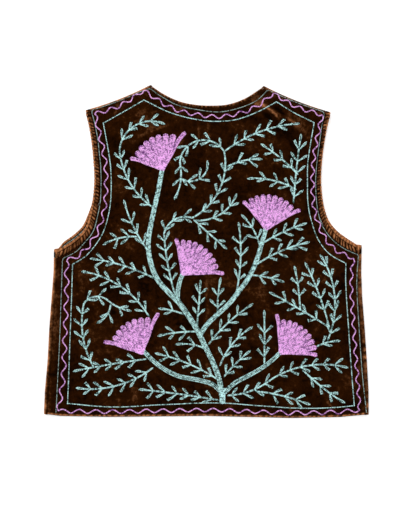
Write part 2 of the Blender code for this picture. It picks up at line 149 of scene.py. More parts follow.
# Armhole edge of the back from the underarm to the shoulder, with its band's width and how far
# the front's edge shows beyond it
LEFT_ARMHOLE = (
    ArmholeRow(0.2440, 0.2712, 0.0125, 0.0022),
    ArmholeRow(0.2350, 0.2765, 0.0125, 0.0062),
    ArmholeRow(0.2145, 0.2904, 0.0125, 0.0068),
    ArmholeRow(0.1987, 0.3070, 0.0117, 0.0058),
    ArmholeRow(0.1904, 0.3313, 0.0104, 0.0028),
    ArmholeRow(0.1850, 0.3600, 0.0090, -0.0008),
    ArmholeRow(0.1830, 0.3880, 0.0085, -0.0010),
    ArmholeRow(0.1845, 0.4200, 0.0080, -0.0010),
    ArmholeRow(0.1885, 0.4570, 0.0080, -0.0010),
    ArmholeRow(0.1961, 0.4980, 0.0070, -0.0006),
)
RIGHT_ARMHOLE = (
    ArmholeRow(0.2490, 0.2778, 0.0125, 0.0014),
    ArmholeRow(0.2294, 0.2890, 0.0122, 0.0020),
    ArmholeRow(0.2130, 0.3022, 0.0110, 0.0016),
    ArmholeRow(0.2005, 0.3200, 0.0096, 0.0004),
    ArmholeRow(0.1930, 0.3420, 0.0078, -0.0006),
    ArmholeRow(0.1892, 0.3660, 0.0064, -0.0010),
    ArmholeRow(0.1880, 0.3920, 0.0055, -0.0010),
    ArmholeRow(0.1898, 0.4220, 0.0046, -0.0010),
    ArmholeRow(0.1947, 0.4570, 0.0048, -0.0010),
    ArmholeRow(0.2023, 0.4950, 0.0070, -0.0006),
)

# Neck edge of the back, with its ends on the shoulder seams
BACK_NECK = (
    NeckRow(-0.0873, 0.5403),
    NeckRow(-0.0690, 0.5285),
    NeckRow(-0.0430, 0.5168),
    NeckRow(-0.0165, 0.5113),
    NeckRow(0.0100, 0.5100),
    NeckRow(0.0365, 0.5120),
    NeckRow(0.0640, 0.5216),
    NeckRow(0.0912, 0.5385),
)

# How far the hem line rises above its level at the centre of the back
HEM_ROWS = (
    HemRow(-0.270, 0.0042),
    HemRow(-0.240, 0.0004),
    HemRow(-0.160, -0.0012),
    HemRow(0.000, 0.0004),
    HemRow(0.140, -0.0030),
    HemRow(0.220, -0.0014),
    HemRow(0.270, 0.0032),
)

# Largest folds and creases of the back, each a soft ridge between two places
FOLDS = (
    Fold(-0.130, 0.446, -0.052, 0.484, 0.015, 0.0024),
    Fold(-0.160, 0.430, -0.130, 0.476, 0.014, 0.0016),
    Fold(0.078, 0.508, 0.150, 0.468, 0.013, 0.0026),
    Fold(0.128, 0.498, 0.172, 0.428, 0.015, 0.0014),
    Fold(-0.010, 0.484, -0.018, 0.442, 0.012, 0.0012),
    Fold(0.006, 0.486, 0.002, 0.350, 0.011, 0.0008),
    Fold(-0.002, 0.248, 0.001, 0.004, 0.011, 0.0012),
    Fold(-0.222, 0.246, -0.150, 0.186, 0.017, 0.0020),
    Fold(0.224, 0.248, 0.158, 0.196, 0.016, 0.0018),
    Fold(-0.205, 0.120, -0.196, 0.004, 0.017, 0.0018),
    Fold(-0.112, 0.082, -0.128, 0.002, 0.015, 0.0019),
    Fold(-0.052, 0.060, -0.046, 0.002, 0.014, 0.0013),
    Fold(0.078, 0.074, 0.066, 0.002, 0.015, 0.0017),
    Fold(0.176, 0.096, 0.186, 0.002, 0.016, 0.0018),
    Fold(0.212, 0.150, 0.232, 0.030, 0.014, 0.0014),
)

# Smaller creases of the back: bow is how far the middle lies to the left of the straight line
CREASES = (
    Crease(-0.122, 0.449, -0.060, 0.478, 0.003, 0.0028, 0.0007),
    Crease(-0.118, 0.440, -0.072, 0.464, -0.002, 0.0040, -0.0006),
    Crease(-0.100, 0.488, -0.078, 0.500, 0.002, 0.0040, 0.0006),
    Crease(-0.148, 0.470, -0.136, 0.440, 0.003, 0.0046, 0.0007),
    Crease(0.082, 0.512, 0.106, 0.502, 0.002, 0.0027, 0.0016),
    Crease(0.102, 0.503, 0.120, 0.483, 0.003, 0.0026, 0.0015),
    Crease(0.108, 0.508, 0.131, 0.488, 0.002, 0.0038, -0.0015),
    Crease(0.088, 0.500, 0.108, 0.484, 0.001, 0.0040, -0.0013),
    Crease(0.118, 0.495, 0.154, 0.468, 0.003, 0.0034, 0.0009),
    Crease(0.138, 0.486, 0.170, 0.444, 0.006, 0.0046, 0.0006),
    Crease(-0.013, 0.482, -0.015, 0.446, 0.001, 0.0026, 0.0006),
    Crease(0.003, 0.482, 0.004, 0.448, -0.001, 0.0026, 0.0006),
    Crease(-0.040, 0.478, -0.044, 0.456, 0.001, 0.0034, 0.0004),
    Crease(-0.002, 0.468, -0.001, 0.352, 0.002, 0.0034, 0.0004),
    Crease(0.058, 0.366, 0.078, 0.352, 0.002, 0.0040, 0.0006),
    Crease(0.036, 0.404, 0.066, 0.392, 0.004, 0.0048, 0.0005),
    Crease(0.100, 0.412, 0.134, 0.404, 0.004, 0.0050, 0.0005),
    Crease(0.020, 0.214, 0.088, 0.196, 0.006, 0.0060, 0.0006),
    Crease(0.090, 0.226, 0.098, 0.150, 0.003, 0.0060, 0.0003),
    Crease(-0.003, 0.244, 0.000, 0.150, 0.002, 0.0034, 0.0006),
    Crease(0.001, 0.094, 0.002, 0.030, -0.001, 0.0034, 0.0006),
    Crease(-0.192, 0.230, -0.184, 0.150, 0.004, 0.0070, 0.0007),
    Crease(-0.128, 0.060, -0.116, 0.014, 0.002, 0.0050, 0.0007),
    Crease(-0.150, 0.036, -0.142, 0.010, 0.002, 0.0044, 0.0005),
    Crease(0.140, 0.030, 0.136, 0.004, 0.001, 0.0046, 0.0006),
    Crease(0.196, 0.034, 0.206, 0.004, 0.002, 0.0046, 0.0006),
    Crease(-0.213, 0.250, -0.206, 0.180, 0.003, 0.0060, 0.0006),
    Crease(0.214, 0.242, 0.176, 0.214, 0.004, 0.0050, 0.0006),
    Crease(0.180, 0.330, 0.150, 0.318, 0.002, 0.0056, 0.0005),
    Crease(-0.166, 0.318, -0.140, 0.300, 0.002, 0.0056, 0.0005),
)

# Section of a turned band: share of its width from the outer edge, share of the crown above the
# cloth, and share of the cloth's thickness below its face
TURNED_BAND = (
    Ring(0.000, 0.00, 0.62),
    Ring(0.000, 0.12, 0.22),
    Ring(0.040, 0.46, 0.00),
    Ring(0.100, 0.72, 0.00),
    Ring(0.200, 0.76, 0.00),
    Ring(0.280, 0.50, 0.00),
    Ring(0.340, 0.20, 0.00),
    Ring(0.390, 0.50, 0.00),
    Ring(0.450, 0.86, 0.00),
    Ring(0.530, 1.00, 0.00),
    Ring(0.620, 1.00, 0.00),
    Ring(0.710, 0.88, 0.00),
    Ring(0.800, 0.66, 0.00),
    Ring(0.880, 0.38, 0.00),
    Ring(0.950, 0.12, 0.05),
    Ring(1.000, 0.00, 0.40),
    Ring(0.970, 0.00, 1.00),
    Ring(0.500, 0.00, 1.00),
    Ring(0.050, 0.00, 1.00),
)
# Where the groove of that band lies across it
GROOVE = 0.34

# Section of the neck's roll, in the same shares
ROLLED_NECK = (
    Ring(0.000, 0.00, 0.62),
    Ring(0.000, 0.12, 0.22),
    Ring(0.060, 0.50, 0.00),
    Ring(0.160, 0.82, 0.00),
    Ring(0.300, 1.00, 0.00),
    Ring(0.460, 1.00, 0.00),
    Ring(0.620, 0.80, 0.00),
    Ring(0.780, 0.44, 0.00),
    Ring(0.900, 0.14, 0.00),
    Ring(1.000, 0.00, 0.40),
    Ring(0.970, 0.00, 1.00),
    Ring(0.500, 0.00, 1.00),
    Ring(0.060, 0.00, 1.00),
)

# Section of the plain strips on the fronts
FLAT_BAND = (
    Ring(0.00, 0.00, 0.62),
    Ring(0.01, 0.00, 0.32),
    Ring(0.07, 0.00, 0.08),
    Ring(0.18, 0.00, 0.00),
    Ring(0.60, 0.00, 0.00),
    Ring(0.97, 0.00, 0.00),
    Ring(1.00, 0.00, 0.16),
    Ring(1.00, 0.00, 1.00),
    Ring(0.50, 0.00, 0.98),
    Ring(0.36, 0.00, 0.94),
    Ring(0.28, 0.00, 1.02),
    Ring(0.21, 0.00, 1.20),
    Ring(0.13, 0.00, 1.26),
    Ring(0.06, 0.00, 1.10),
    Ring(0.01, 0.00, 0.86),
)

# How far the pile stands past the edge of the armholes, the sides and the hem, and how far up the
# hem's reaches
PILE = {"left": 0.0010, "right": 0.0018}
SIDE_PILE = {"left": 0.0, "right": 0.0011}
HEM_PILE = 0.0019
HEM_PILE_REACH = 0.006

# The turned hem: its edge rolls over, and a swell and a stitched groove lie above that
HEM_ROLL = 0.0007
HEM_ROLL_WIDTH = 0.0016
HEM_FORMS = (HemForm(0.0004, 0.0055, 0.0028), HemForm(-0.0003, 0.0026, 0.0007))

# How much lighter a front's turned edge is, from wear and a painted sheen, and how far that reaches
WORN_AND_SHEEN_EDGE = {"left": WornAndSheen(0.68, 0.0030), "right": WornAndSheen(0.35, 0.0052)}

# How strong the painted highlight on the ridges of the back's creases and the painted shade in
# their valleys are, the height of the underarms, and the height from which the wear of the sides
# fades
RIDGE_HIGHLIGHT = 240
VALLEY_SHADE = 150
UNDERARM = 0.27
SIDE_NAP_TOP = 0.262

LEFT = Half("left", -1, (0.1970, 0.5030), (0.0924, 0.5437), LEFT_ARMHOLE)
RIGHT = Half("right", 1, (0.2030, 0.5000), (0.0965, 0.5420), RIGHT_ARMHOLE)

# The border, run by run from the neck's left corner round to it again: the waves of the waved
# line, their swing as a share of the full one, the corner that it ends in, and the places of the
# outer and the inner line. A run starts where the one before it ends, and between its corners the
# waved line lies midway. No outer line is sewn along the hem.
BORDER = (
    Run("neck", 10, 0.88, (0.1105, 0.5300), (
        Knot(-0.052, 0.5128, -0.058, 0.498),
        Knot(-0.010, 0.5026, -0.010, 0.486),
        Knot(0.024, 0.4996, 0.021, 0.484),
        Knot(0.060, 0.5076, 0.050, 0.487),
        Knot(0.084, 0.5186, 0.084, 0.499),
        Knot(0.102, 0.536, 0.116, 0.516),
    )),
    Run("right_shoulder", 4, 0.8, (0.1910, 0.4945), (
        Knot(0.150, 0.519, 0.146, 0.4975),
        Knot(0.200, 0.501, 0.178, 0.482),
    )),
    Run("right_armhole", 12, 0.88, (0.2420, 0.2585), (
        Knot(0.187, 0.430, 0.168, 0.420),
        Knot(0.184, 0.392, 0.167, 0.382),
        Knot(0.185, 0.358, 0.168, 0.348),
        Knot(0.191, 0.327, 0.173, 0.322),
        Knot(0.204, 0.300, 0.185, 0.289),
        Knot(0.222, 0.280, 0.203, 0.266),
        Knot(0.251, 0.266, 0.230, 0.250),
    )),
    Run("right_side", 11, 0.76, (0.2530, 0.0075), (
        Knot(0.248, 0.219, 0.230, 0.216),
        Knot(0.252, 0.140, 0.235, 0.138),
        Knot(0.257, 0.070, 0.240, 0.066),
        Knot(0.264, 0.001, 0.244, 0.0155),
    )),
    Run("hem", 18, 0.85, (-0.2430, 0.0070), (
        Knot(0.173, 0.000, 0.173, 0.0137),
        Knot(0.090, -0.002, 0.090, 0.0172),
        Knot(0.025, -0.003, 0.025, 0.0205),
        Knot(-0.068, -0.002, -0.068, 0.0180),
        Knot(-0.153, 0.000, -0.153, 0.0148),
        Knot(-0.247, 0.001, -0.228, 0.0195),
    )),
    Run("left_side", 9, 1.0, (-0.2290, 0.2540), (
        Knot(-0.244, 0.060, -0.226, 0.064),
        Knot(-0.241, 0.120, -0.224, 0.120),
        Knot(-0.238, 0.202, -0.221, 0.202),
        Knot(-0.236, 0.258, -0.2195, 0.2485),
    )),
    Run("left_armhole", 11, 0.95, (-0.1830, 0.4960), (
        Knot(-0.211, 0.272, -0.196, 0.264),
        Knot(-0.187, 0.305, -0.171, 0.298),
        Knot(-0.175, 0.345, -0.159, 0.338),
        Knot(-0.173, 0.385, -0.156, 0.378),
        Knot(-0.175, 0.426, -0.158, 0.418),
        Knot(-0.194, 0.503, -0.169, 0.481),
    )),
    Run("left_shoulder", 4, 0.8, (-0.1025, 0.5345), (
        Knot(-0.150, 0.5185, -0.136, 0.4995),
        Knot(-0.092, 0.538, -0.102, 0.519),
    )),
)

# Thick stems as rows of chain stitch side by side, with the gap between the rows at each end
STEMS = (
    Stem(4, 0.0021, 0.0022, (
        (0.027, 0.024), (0.022, 0.058), (0.011, 0.088), (-0.003, 0.117), (-0.016, 0.143),
        (-0.031, 0.167), (-0.046, 0.188),
    )),
    Stem(4, 0.0021, 0.0018, (
        (-0.046, 0.187), (-0.062, 0.203), (-0.078, 0.221), (-0.0885, 0.243), (-0.0945, 0.270),
        (-0.0945, 0.292), (-0.0905, 0.315), (-0.085, 0.341), (-0.079, 0.368), (-0.0722, 0.405),
    )),
    Stem(3, 0.0026, 0.0025, ((-0.047, 0.190), (-0.046, 0.206), (-0.043, 0.221), (-0.038, 0.234))),
    Stem(4, 0.0019, 0.0018, (
        (-0.011, 0.131), (0.003, 0.151), (0.021, 0.168), (0.039, 0.185), (0.053, 0.203),
        (0.066, 0.220), (0.076, 0.238), (0.084, 0.257), (0.091, 0.280), (0.099, 0.309),
    )),
    Stem(3, 0.0027, 0.0025, (
        (0.024, 0.040), (0.009, 0.052), (-0.012, 0.058), (-0.046, 0.065), (-0.070, 0.077),
        (-0.087, 0.090), (-0.102, 0.105),
    )),
    Stem(3, 0.0025, 0.0024, (
        (0.030, 0.037), (0.047, 0.053), (0.069, 0.065), (0.090, 0.077), (0.108, 0.090),
        (0.124, 0.105),
    )),
    Stem(5, 0.0017, 0.0022, ((0.027, 0.020), (0.027, 0.044))),
)

# Leafy sprigs: where each rib starts and ends, how far it turns to the left on the way in
# degrees, how far along it its first leaves are, its pairs of leaves, and 1 where it ends in a leaf
SPRIGS = (
    Sprig(-0.087, 0.342, -0.142, 0.434, -50, 0.008, 6, 0),
    Sprig(-0.142, 0.434, -0.069, 0.480, -112, 0.020, 4, 1),
    Sprig(-0.096, 0.272, -0.135, 0.353, -22, 0.013, 3, 1),
    Sprig(-0.111, 0.294, -0.168, 0.282, 34, 0.015, 2, 1),
    Sprig(-0.050, 0.196, -0.069, 0.299, -14, 0.026, 5, 0),
    Sprig(-0.069, 0.299, -0.023, 0.325, -96, 0.006, 3, 0),
    Sprig(-0.023, 0.325, 0.030, 0.434, 74, 0.020, 5, 0),
    Sprig(0.030, 0.434, -0.043, 0.416, 146, 0.010, 5, 0),
    Sprig(-0.043, 0.416, -0.051, 0.357, -40, 0.006, 2, 1),
    Sprig(-0.039, 0.389, 0.003, 0.417, 126, 0.010, 2, 1),
    Sprig(0.030, 0.434, 0.152, 0.480, -35, 0.020, 5, 1),
    Sprig(0.034, 0.409, 0.091, 0.422, -30, 0.020, 2, 1),
    Sprig(-0.018, 0.321, 0.050, 0.363, 74, 0.030, 3, 1),
    Sprig(-0.020, 0.322, 0.033, 0.275, 2, 0.010, 3, 1),
    Sprig(0.144, 0.350, 0.156, 0.461, -4, 0.010, 5, 1),
    Sprig(0.148, 0.372, 0.070, 0.390, 34, 0.013, 3, 1),
    Sprig(0.151, 0.397, 0.092, 0.446, 14, 0.015, 3, 1),
    Sprig(0.050, 0.202, 0.054, 0.316, 20, 0.022, 4, 1),
    Sprig(0.096, 0.285, 0.164, 0.316, -15, 0.016, 3, 1),
    Sprig(0.088, 0.281, 0.060, 0.329, 32, 0.011, 2, 1),
    Sprig(0.084, 0.249, 0.169, 0.285, -22, 0.022, 4, 1),
    Sprig(0.076, 0.231, 0.127, 0.220, -14, 0.012, 2, 1),
    Sprig(-0.086, 0.226, -0.189, 0.258, 20, 0.014, 5, 1),
    Sprig(-0.094, 0.163, -0.203, 0.237, 50, 0.010, 6, 1),
    Sprig(-0.097, 0.093, -0.217, 0.073, 4, 0.019, 5, 1),
    Sprig(-0.185, 0.080, -0.201, 0.184, -42, 0.012, 5, 0),
    Sprig(-0.201, 0.184, -0.160, 0.188, -100, 0.008, 2, 0),
    Sprig(-0.160, 0.188, -0.125, 0.172, 28, 0.020, 1, 1),
    Sprig(-0.157, 0.182, -0.178, 0.152, -58, 0.014, 1, 1),
    Sprig(-0.088, 0.078, -0.212, 0.045, -45, 0.012, 6, 1),
    Sprig(0.020, 0.025, -0.109, 0.043, 4, 0.010, 6, 1),
    Sprig(-0.038, 0.167, -0.076, 0.176, 16, 0.017, 1, 1),
    Sprig(-0.018, 0.138, -0.078, 0.131, 14, 0.014, 2, 1),
    Sprig(-0.002, 0.110, -0.049, 0.117, 34, 0.017, 1, 1),
    Sprig(0.024, 0.056, -0.082, 0.102, 22, 0.017, 5, 1),
    Sprig(-0.015, 0.145, -0.009, 0.221, 2, 0.020, 3, 1),
    Sprig(0.019, 0.170, 0.024, 0.225, -12, 0.008, 2, 1),
    Sprig(0.004, 0.117, 0.076, 0.183, -20, 0.010, 4, 1),
    Sprig(0.023, 0.082, 0.075, 0.145, -38, 0.015, 3, 1),
    Sprig(0.030, 0.064, 0.072, 0.106, -12, 0.005, 3, 1),
    Sprig(0.096, 0.086, 0.096, 0.171, 2, 0.011, 3, 1),
    Sprig(0.183, 0.114, 0.219, 0.123, -22, 0.010, 1, 1),
    Sprig(0.200, 0.123, 0.189, 0.263, 56, 0.013, 7, 1),
    Sprig(0.203, 0.145, 0.164, 0.250, 12, 0.030, 4, 1),
    Sprig(0.203, 0.145, 0.106, 0.202, 4, 0.025, 4, 1),
    Sprig(0.155, 0.174, 0.146, 0.244, 10, 0.023, 2, 1),
    Sprig(0.036, 0.033, 0.110, 0.061, 35, 0.006, 4, 0),
    Sprig(0.110, 0.061, 0.232, 0.079, -45, 0.012, 6, 1),
    Sprig(0.159, 0.075, 0.227, 0.022, 14, 0.019, 3, 1),
    Sprig(0.082, 0.040, 0.170, 0.020, -16, 0.028, 3, 1),
)

# Fan flowers: the foot, the tips of the two horns, the petals between them, and how far the
# petals reach from the foot beside the first and the last horn
FANS = (
    Fan("upper_left", (-0.0718, 0.4062), (-0.1254, 0.4252), (-0.0356, 0.4681), 7, 0.052, 0.060),
    Fan("upper_right", (0.0994, 0.3084), (0.0623, 0.3538), (0.1551, 0.3403), 8, 0.056, 0.057),
    Fan("middle", (-0.0378, 0.2341), (-0.0480, 0.2919), (0.0304, 0.2355), 8, 0.055, 0.059),
    Fan("lower_left", (-0.1060, 0.1041), (-0.1683, 0.1231), (-0.0796, 0.1701), 7, 0.053, 0.058),
    Fan("lower_right", (0.1238, 0.1041), (0.1180, 0.1671), (0.1836, 0.1011), 8, 0.054, 0.059),
)

# Widths of the rows of chain stitch, and how unevenly the loops are sewn
OUTER_ROW = 0.0013
WAVED_ROW = 0.0022
INNER_ROW = 0.0017
STEM_ROW = 0.0023
RIB_ROW = 0.0032
LEAF_ROW = 0.0019
UNEVENNESS = 0.05

# How far the border keeps from the bands, the hem and the seams, and how its outer line rounds
# the corners
LINE_MARGIN = 0.0014
INNER_MARGIN = 0.0016
FROM_SIDE = 0.0030
FROM_SHOULDER = 0.0030
CORNER_ROUNDING = 0.0042

# Leaves: half the gap inside one, the longest step between two pairs, where a leaf starts beside
# its rib, its curl, the chance in its angle and its length, and how much of a rib has no leaves
LEAF_GAP = 0.0010
LEAF_STEP = 0.0195
LEAF_START = 0.0012
LEAF_CURL = 0.16
LEAF_TURN = 0.13
LEAF_LENGTHS = (0.74, 1.06)
END_LEAF = 0.019
FREE_BEFORE_END_LEAF = 0.021
FREE_AT_TIP = 0.012

# Fan flowers: the heart behind the foot, the arcs round it, the horns, the slits that open between
# the petals on the way out, and the rows that fill them
FAN_FOOT = 0.0040
FAN_ARCS = (0.0050, 0.0071, 0.0092, 0.0113)
ARC_FULLNESS = 1.25
HORN_WIDTH = 0.0062
HORN_BEND = 0.30
SLITS = (Slit(0.0002, 0.022, 0.026), Slit(0.0007, 0.045, 0.010))
ROW_GAP = 0.0022
ROW_FULLNESS = 1.3

# The short line on the left front's edge that shows inside the armhole
ARMHOLE_LINE_INSET = 0.0046
ARMHOLE_LINE_PITCH = 0.0026
ARMHOLE_LINE_LIFT = 0.0002
ARMHOLE_LOOP = (0.0034, 0.0013, 0.0011)

# Topstitching
NECK_DASHES = Dashes(0.0006, 0.0040, 0.0023, 0.0007)
ARMHOLE_DASHES = Dashes(0.0007, 0.0036, 0.0020, 0.0006)
HEM_DASHES = Dashes(0.0026, 0.0046, 0.0026, 0.0008)
HEM_DASHES_FROM_SIDE = 0.002
DASH_LIFT = 0.0001

# Painted shade of the yarns and the thread in the hollow of a loop
GREEN_HOLLOW_SHADE = (0.030, 0.085, 0.076)
DULL_GREEN_HOLLOW_SHADE = (0.04, 0.06, 0.05)
LILAC_HOLLOW_SHADE = (0.20, 0.055, 0.25)
THREAD_HOLLOW_SHADE = (0.02, 0.008, 0.004)

HEM_LOW = min(row.rise for row in HEM_ROWS)
MIDDLE = (LEFT.neck_point[1] + FOLD_PAST_NECK_POINT + HEM_LOW) / 2
FLAT_BACK = 2 * CLOTH + LAYER_GAP
FOLD_HEIGHT = 2 * FOLD_RADIUS
HALF_TURN = pi * FOLD_RADIUS

# The photograph's frame, and the lights with their shares of the key light's power
IMAGE = (416, 520)
METRES_PER_PIXEL = 0.00165
VIEW_CENTRE = (0.0033, 0.25575)
SENSOR = 36.0
FLOOR_SIZE = 12
FLOOR_DROP = 0.0004
LAMPS = (
    Lamp("key", (-1.1, 1.5, 2.0), 1.6, 1.0),
    Lamp("soft", (1.3, -0.9, 2.4), 2.4, 0.45),
)


# Numbers and lines

def ease(share):
    """Smooth step from 0 to 1."""
    share = np.clip(share, 0.0, 1.0)
    return share * share * (3 - 2 * share)


def unit(vectors):
    """The vectors at length 1."""
    return vectors / np.linalg.norm(vectors, axis=-1, keepdims=True)


def column(rows, name):
    """One column of a table."""
    return np.array([getattr(row, name) for row in rows])


def walked(points):
    """How far along a line each of its points is."""
    steps = np.linalg.norm(np.diff(points[:, :2], axis=0), axis=1)
    return np.concatenate(([0.0], np.cumsum(steps)))


def at(points, stops):
    """Places on a line at the distances given."""
    way = walked(points)
    return np.stack([np.interp(stops, way, points[:, k]) for k in range(points.shape[1])], 1)


def evenly(points, steps):
    """The same line in equal steps."""
    return at(points, np.linspace(0, walked(points)[-1], steps + 1))


def spline(rows, steps):
    """Evenly spaced points on a smooth curve through rows whose first two columns are a place."""
    knots = np.array(rows, dtype=float)
    lengths = np.linalg.norm(np.diff(knots[:, :2], axis=0), axis=1)
    last = len(knots) - 1
    slopes = []
    for i in range(len(knots)):
        before, after = max(i - 1, 0), min(i + 1, last)
        slopes.append((knots[after] - knots[before]) / lengths[before:after].sum())
    t = (np.arange(SPLINE_STEPS) / SPLINE_STEPS)[:, None]
    fine = []
    for i, length in enumerate(lengths):
        start = knots[i] * (2 * t**3 - 3 * t**2 + 1) + slopes[i] * length * (t**3 - 2 * t**2 + t)
        end = knots[i + 1] * (3 * t**2 - 2 * t**3) + slopes[i + 1] * length * (t**3 - t**2)
        fine.append(start + end)
    return evenly(np.concatenate(fine + [knots[-1:]]), steps)


def headed(angles):
    """Unit vectors at the angles."""
    return np.stack((np.cos(angles), np.sin(angles)), 1)


def stepped(start, angles, length):
    """A line of a given length from a start, with an equal step at each angle."""
    moves = headed(angles) * length / len(angles)
    return start + np.concatenate(([(0, 0)], np.cumsum(moves, axis=0)))


# The cloth's shape

def side_reach(half, height):
    """Reach of the silhouette at the side seam."""
    return np.interp(height, column(SIDE_ROWS, "height"), column(SIDE_ROWS, half.name))


def shoulder_axes(half):
    """Unit vectors along the shoulder towards the neck, and outwards across it."""
    along = unit(np.subtract(half.neck_point, half.tip))
    return along, np.array((along[1], -along[0]))


def past_shoulder(half, places):
    """How far places lie past the shoulder's fold line, across it."""
    along, across = shoulder_axes(half)
    apart = places - np.array(half.tip)
    share = np.clip(apart @ along / np.linalg.norm(np.subtract(half.neck_point, half.tip)), 0, 1)
    return apart @ across + SHOULDER_SAG * 4 * share * (1 - share) + FOLD_RADIUS


def past_side(half, places):
    """How far places lie past the side's fold line."""
    return places[..., 0] - side_reach(half, places[..., 1]) + FOLD_RADIUS


def on_shoulder_line(half, places, inset):
    """The places moved across the shoulder until they lie inset from the silhouette."""
    _, across = shoulder_axes(half)
    return places - (past_shoulder(half, places) + inset - FOLD_RADIUS)[..., None] * across


def unfolded_at_shoulder(half, places):
    """Where places on the upper side of the shoulder lie on the front's unfolded cloth."""
    _, across = shoulder_axes(half)
    return places + (HALF_TURN - 2 * past_shoulder(half, places))[..., None] * across


def unfolded_at_side(half, places):
    """Where places on the upper side of the side fold lie on the front's unfolded cloth."""
    return places + (HALF_TURN - 2 * past_side(half, places))[..., None] * np.array((1, 0))


def in_space(x, height, z):
    """Points of the finished part."""
    fade = 1 - ease(height / HEM_FADE)
    y = height - MIDDLE + np.interp(x, column(HEM_ROWS, "x"), column(HEM_ROWS, "rise")) * fade
    y = y - HEM_PILE * ease(1 - height / HEM_PILE_REACH)
    return np.stack((x, y, z + np.zeros_like(x)), -1)


def fold_rise(x, height):
    """Height that the folds, creases and soft unevenness add to the back."""
    rise = LIE_RISE * (1 + np.sin(LIE_WAVES[0] * x) * np.cos(LIE_WAVES[1] * height)) / 2
    for fold in FOLDS:
        run = np.array((fold.x1 - fold.x0, fold.height1 - fold.height0))
        apart = np.stack((x - fold.x0, height - fold.height0), -1)
        share = np.clip(apart @ run / (run @ run), 0, 1)
        away = np.linalg.norm(apart - share[..., None] * run, axis=-1)
        rise = rise + fold.rise * ease(1 - away / (2 * fold.width))
    return rise


def crease_rise(x, height):
    """Height that the smaller creases add."""
    rise = np.zeros_like(x)
    for crease in CREASES:
        run = np.array((crease.x1 - crease.x0, crease.height1 - crease.height0))
        length = np.linalg.norm(run)
        ahead, aside = run / length, np.array((-run[1], run[0])) / length
        apart = np.stack((x - crease.x0, height - crease.height0), -1)
        share = apart @ ahead / length
        bow = crease.bow * 4 * np.clip(share, 0, 1) * (1 - np.clip(share, 0, 1))
        beyond = np.maximum(np.maximum(-share, share - 1) * length, 0)
        away = np.hypot(apart @ aside - bow, beyond)
        taper = 0.35 + 0.65 * ease(4 * np.clip(share, 0, 1) * (1 - np.clip(share, 0, 1)))
        rise = rise + crease.rise * taper * np.exp(-(away / crease.width) ** 2)
    return rise


def back_height(x, height):
    """Height of the back's face: level with the folds at the seams, settling onto the fronts."""
    reach = np.abs(x)
    levels = {}
    for half in (LEFT, RIGHT):
        corner = half.armhole[0].height
        from_side = side_reach(half, np.minimum(height, corner)) - SIDE_WRAP - reach
        from_side = from_side + np.maximum(height - corner, 0.0)
        past = past_shoulder(half, np.stack((reach, height), -1))
        from_shoulder = -past - (SHOULDER_WRAP - FOLD_RADIUS)
        lifted = ease(1 - from_side / SIDE_SETTLE)
        raised = ease(1 - from_shoulder / SHOULDER_SETTLE)
        levels[half.name] = 1 - (1 - lifted) * (1 - raised)
    level = np.where(x < 0, levels["left"], levels["right"])
    free = (1 - level) * fold_rise(x, height)
    return FLAT_BACK + (FOLD_HEIGHT - FLAT_BACK) * level + free


def round_drop(x, height):
    """How far the turned-up cloth beyond the side and shoulder seams has rounded down."""
    drops = {}
    for half in (LEFT, RIGHT):
        past = past_shoulder(half, np.stack((np.abs(x), height), -1))
        side = np.abs(x) - side_reach(half, height) + FOLD_RADIUS
        past = np.maximum(past, np.where(height < half.armhole[0].height, side, -1))
        beyond = np.clip(past, 0, FOLD_RADIUS)
        drops[half.name] = FOLD_RADIUS - np.sqrt(FOLD_RADIUS**2 - beyond**2)
    return np.where(x < 0, drops["left"], drops["right"])


def face_height(x, height):
    """Height of the back's face with the smaller creases and the turned hem."""
    depth = bpy.context.scene.waistcoat_velvet.crease_depth
    across, along = 118 * x + 3 * np.sin(41 * height), 97 * height + 2 * np.sin(37 * x)
    wander = 0.00022 * np.sin(across) * np.sin(along)
    rise = crease_rise(x, height) + wander
    top = back_height(x, height) + depth * rise
    top = top - HEM_ROLL * ease(1 - (height - BACK_HEM_LIFT) / HEM_ROLL_WIDTH)
    for form in HEM_FORMS:
        top = top + form.rise * np.exp(-((height - form.height) / form.width) ** 2)
    return top - round_drop(x, height)


def back_face(places):
    """Points on the back's face, and the unit normal at each."""
    x, height = places[:, 0], places[:, 1]
    point = in_space(x, height, face_height(x, height))
    right = in_space(x + SLOPE_STEP, height, face_height(x + SLOPE_STEP, height))
    up = in_space(x, height + SLOPE_STEP, face_height(x, height + SLOPE_STEP))
    return point, unit(np.cross(right - point, up - point))


def front_top(places):
    """Points on the upper side of the flat part of a front, and the normal at each."""
    flat = in_space(places[:, 0], places[:, 1], np.full(len(places), CLOTH))
    return flat, np.tile((0.0, 0.0, 1.0), (len(places), 1))


def lay_front(half, places, depth):
    """Points of a front, depth inside its outer face, turned up past the fold lines."""
    side, shoulder = past_side(half, places), past_shoulder(half, places)
    _, leaning = shoulder_axes(half)
    at_side = (side > 0) & (places[..., 1] < half.armhole[1].height)
    at_shoulder = ~at_side & (shoulder > 0)
    past = np.where(at_side, side, np.where(at_shoulder, shoulder, 0.0))
    across = np.where(at_side[..., None], np.array((1.0, 0.0)), leaning)
    foot = places - across * past[..., None]
    angle = np.minimum(past, HALF_TURN) / FOLD_RADIUS
    radius = FOLD_RADIUS - depth
    beyond = np.maximum(past - HALF_TURN, 0)
    fuller = radius + np.where(at_side, SIDE_PILE[half.name], 0.0)
    spot = foot + across * (fuller * np.sin(angle) - beyond)[..., None]
    z = FOLD_RADIUS - radius * np.cos(angle)
    flat = past <= 0
    z = np.where(flat, depth, z)
    spot = np.where(flat[..., None], places, spot)
    return in_space(half.sign * spot[..., 0], spot[..., 1], z)


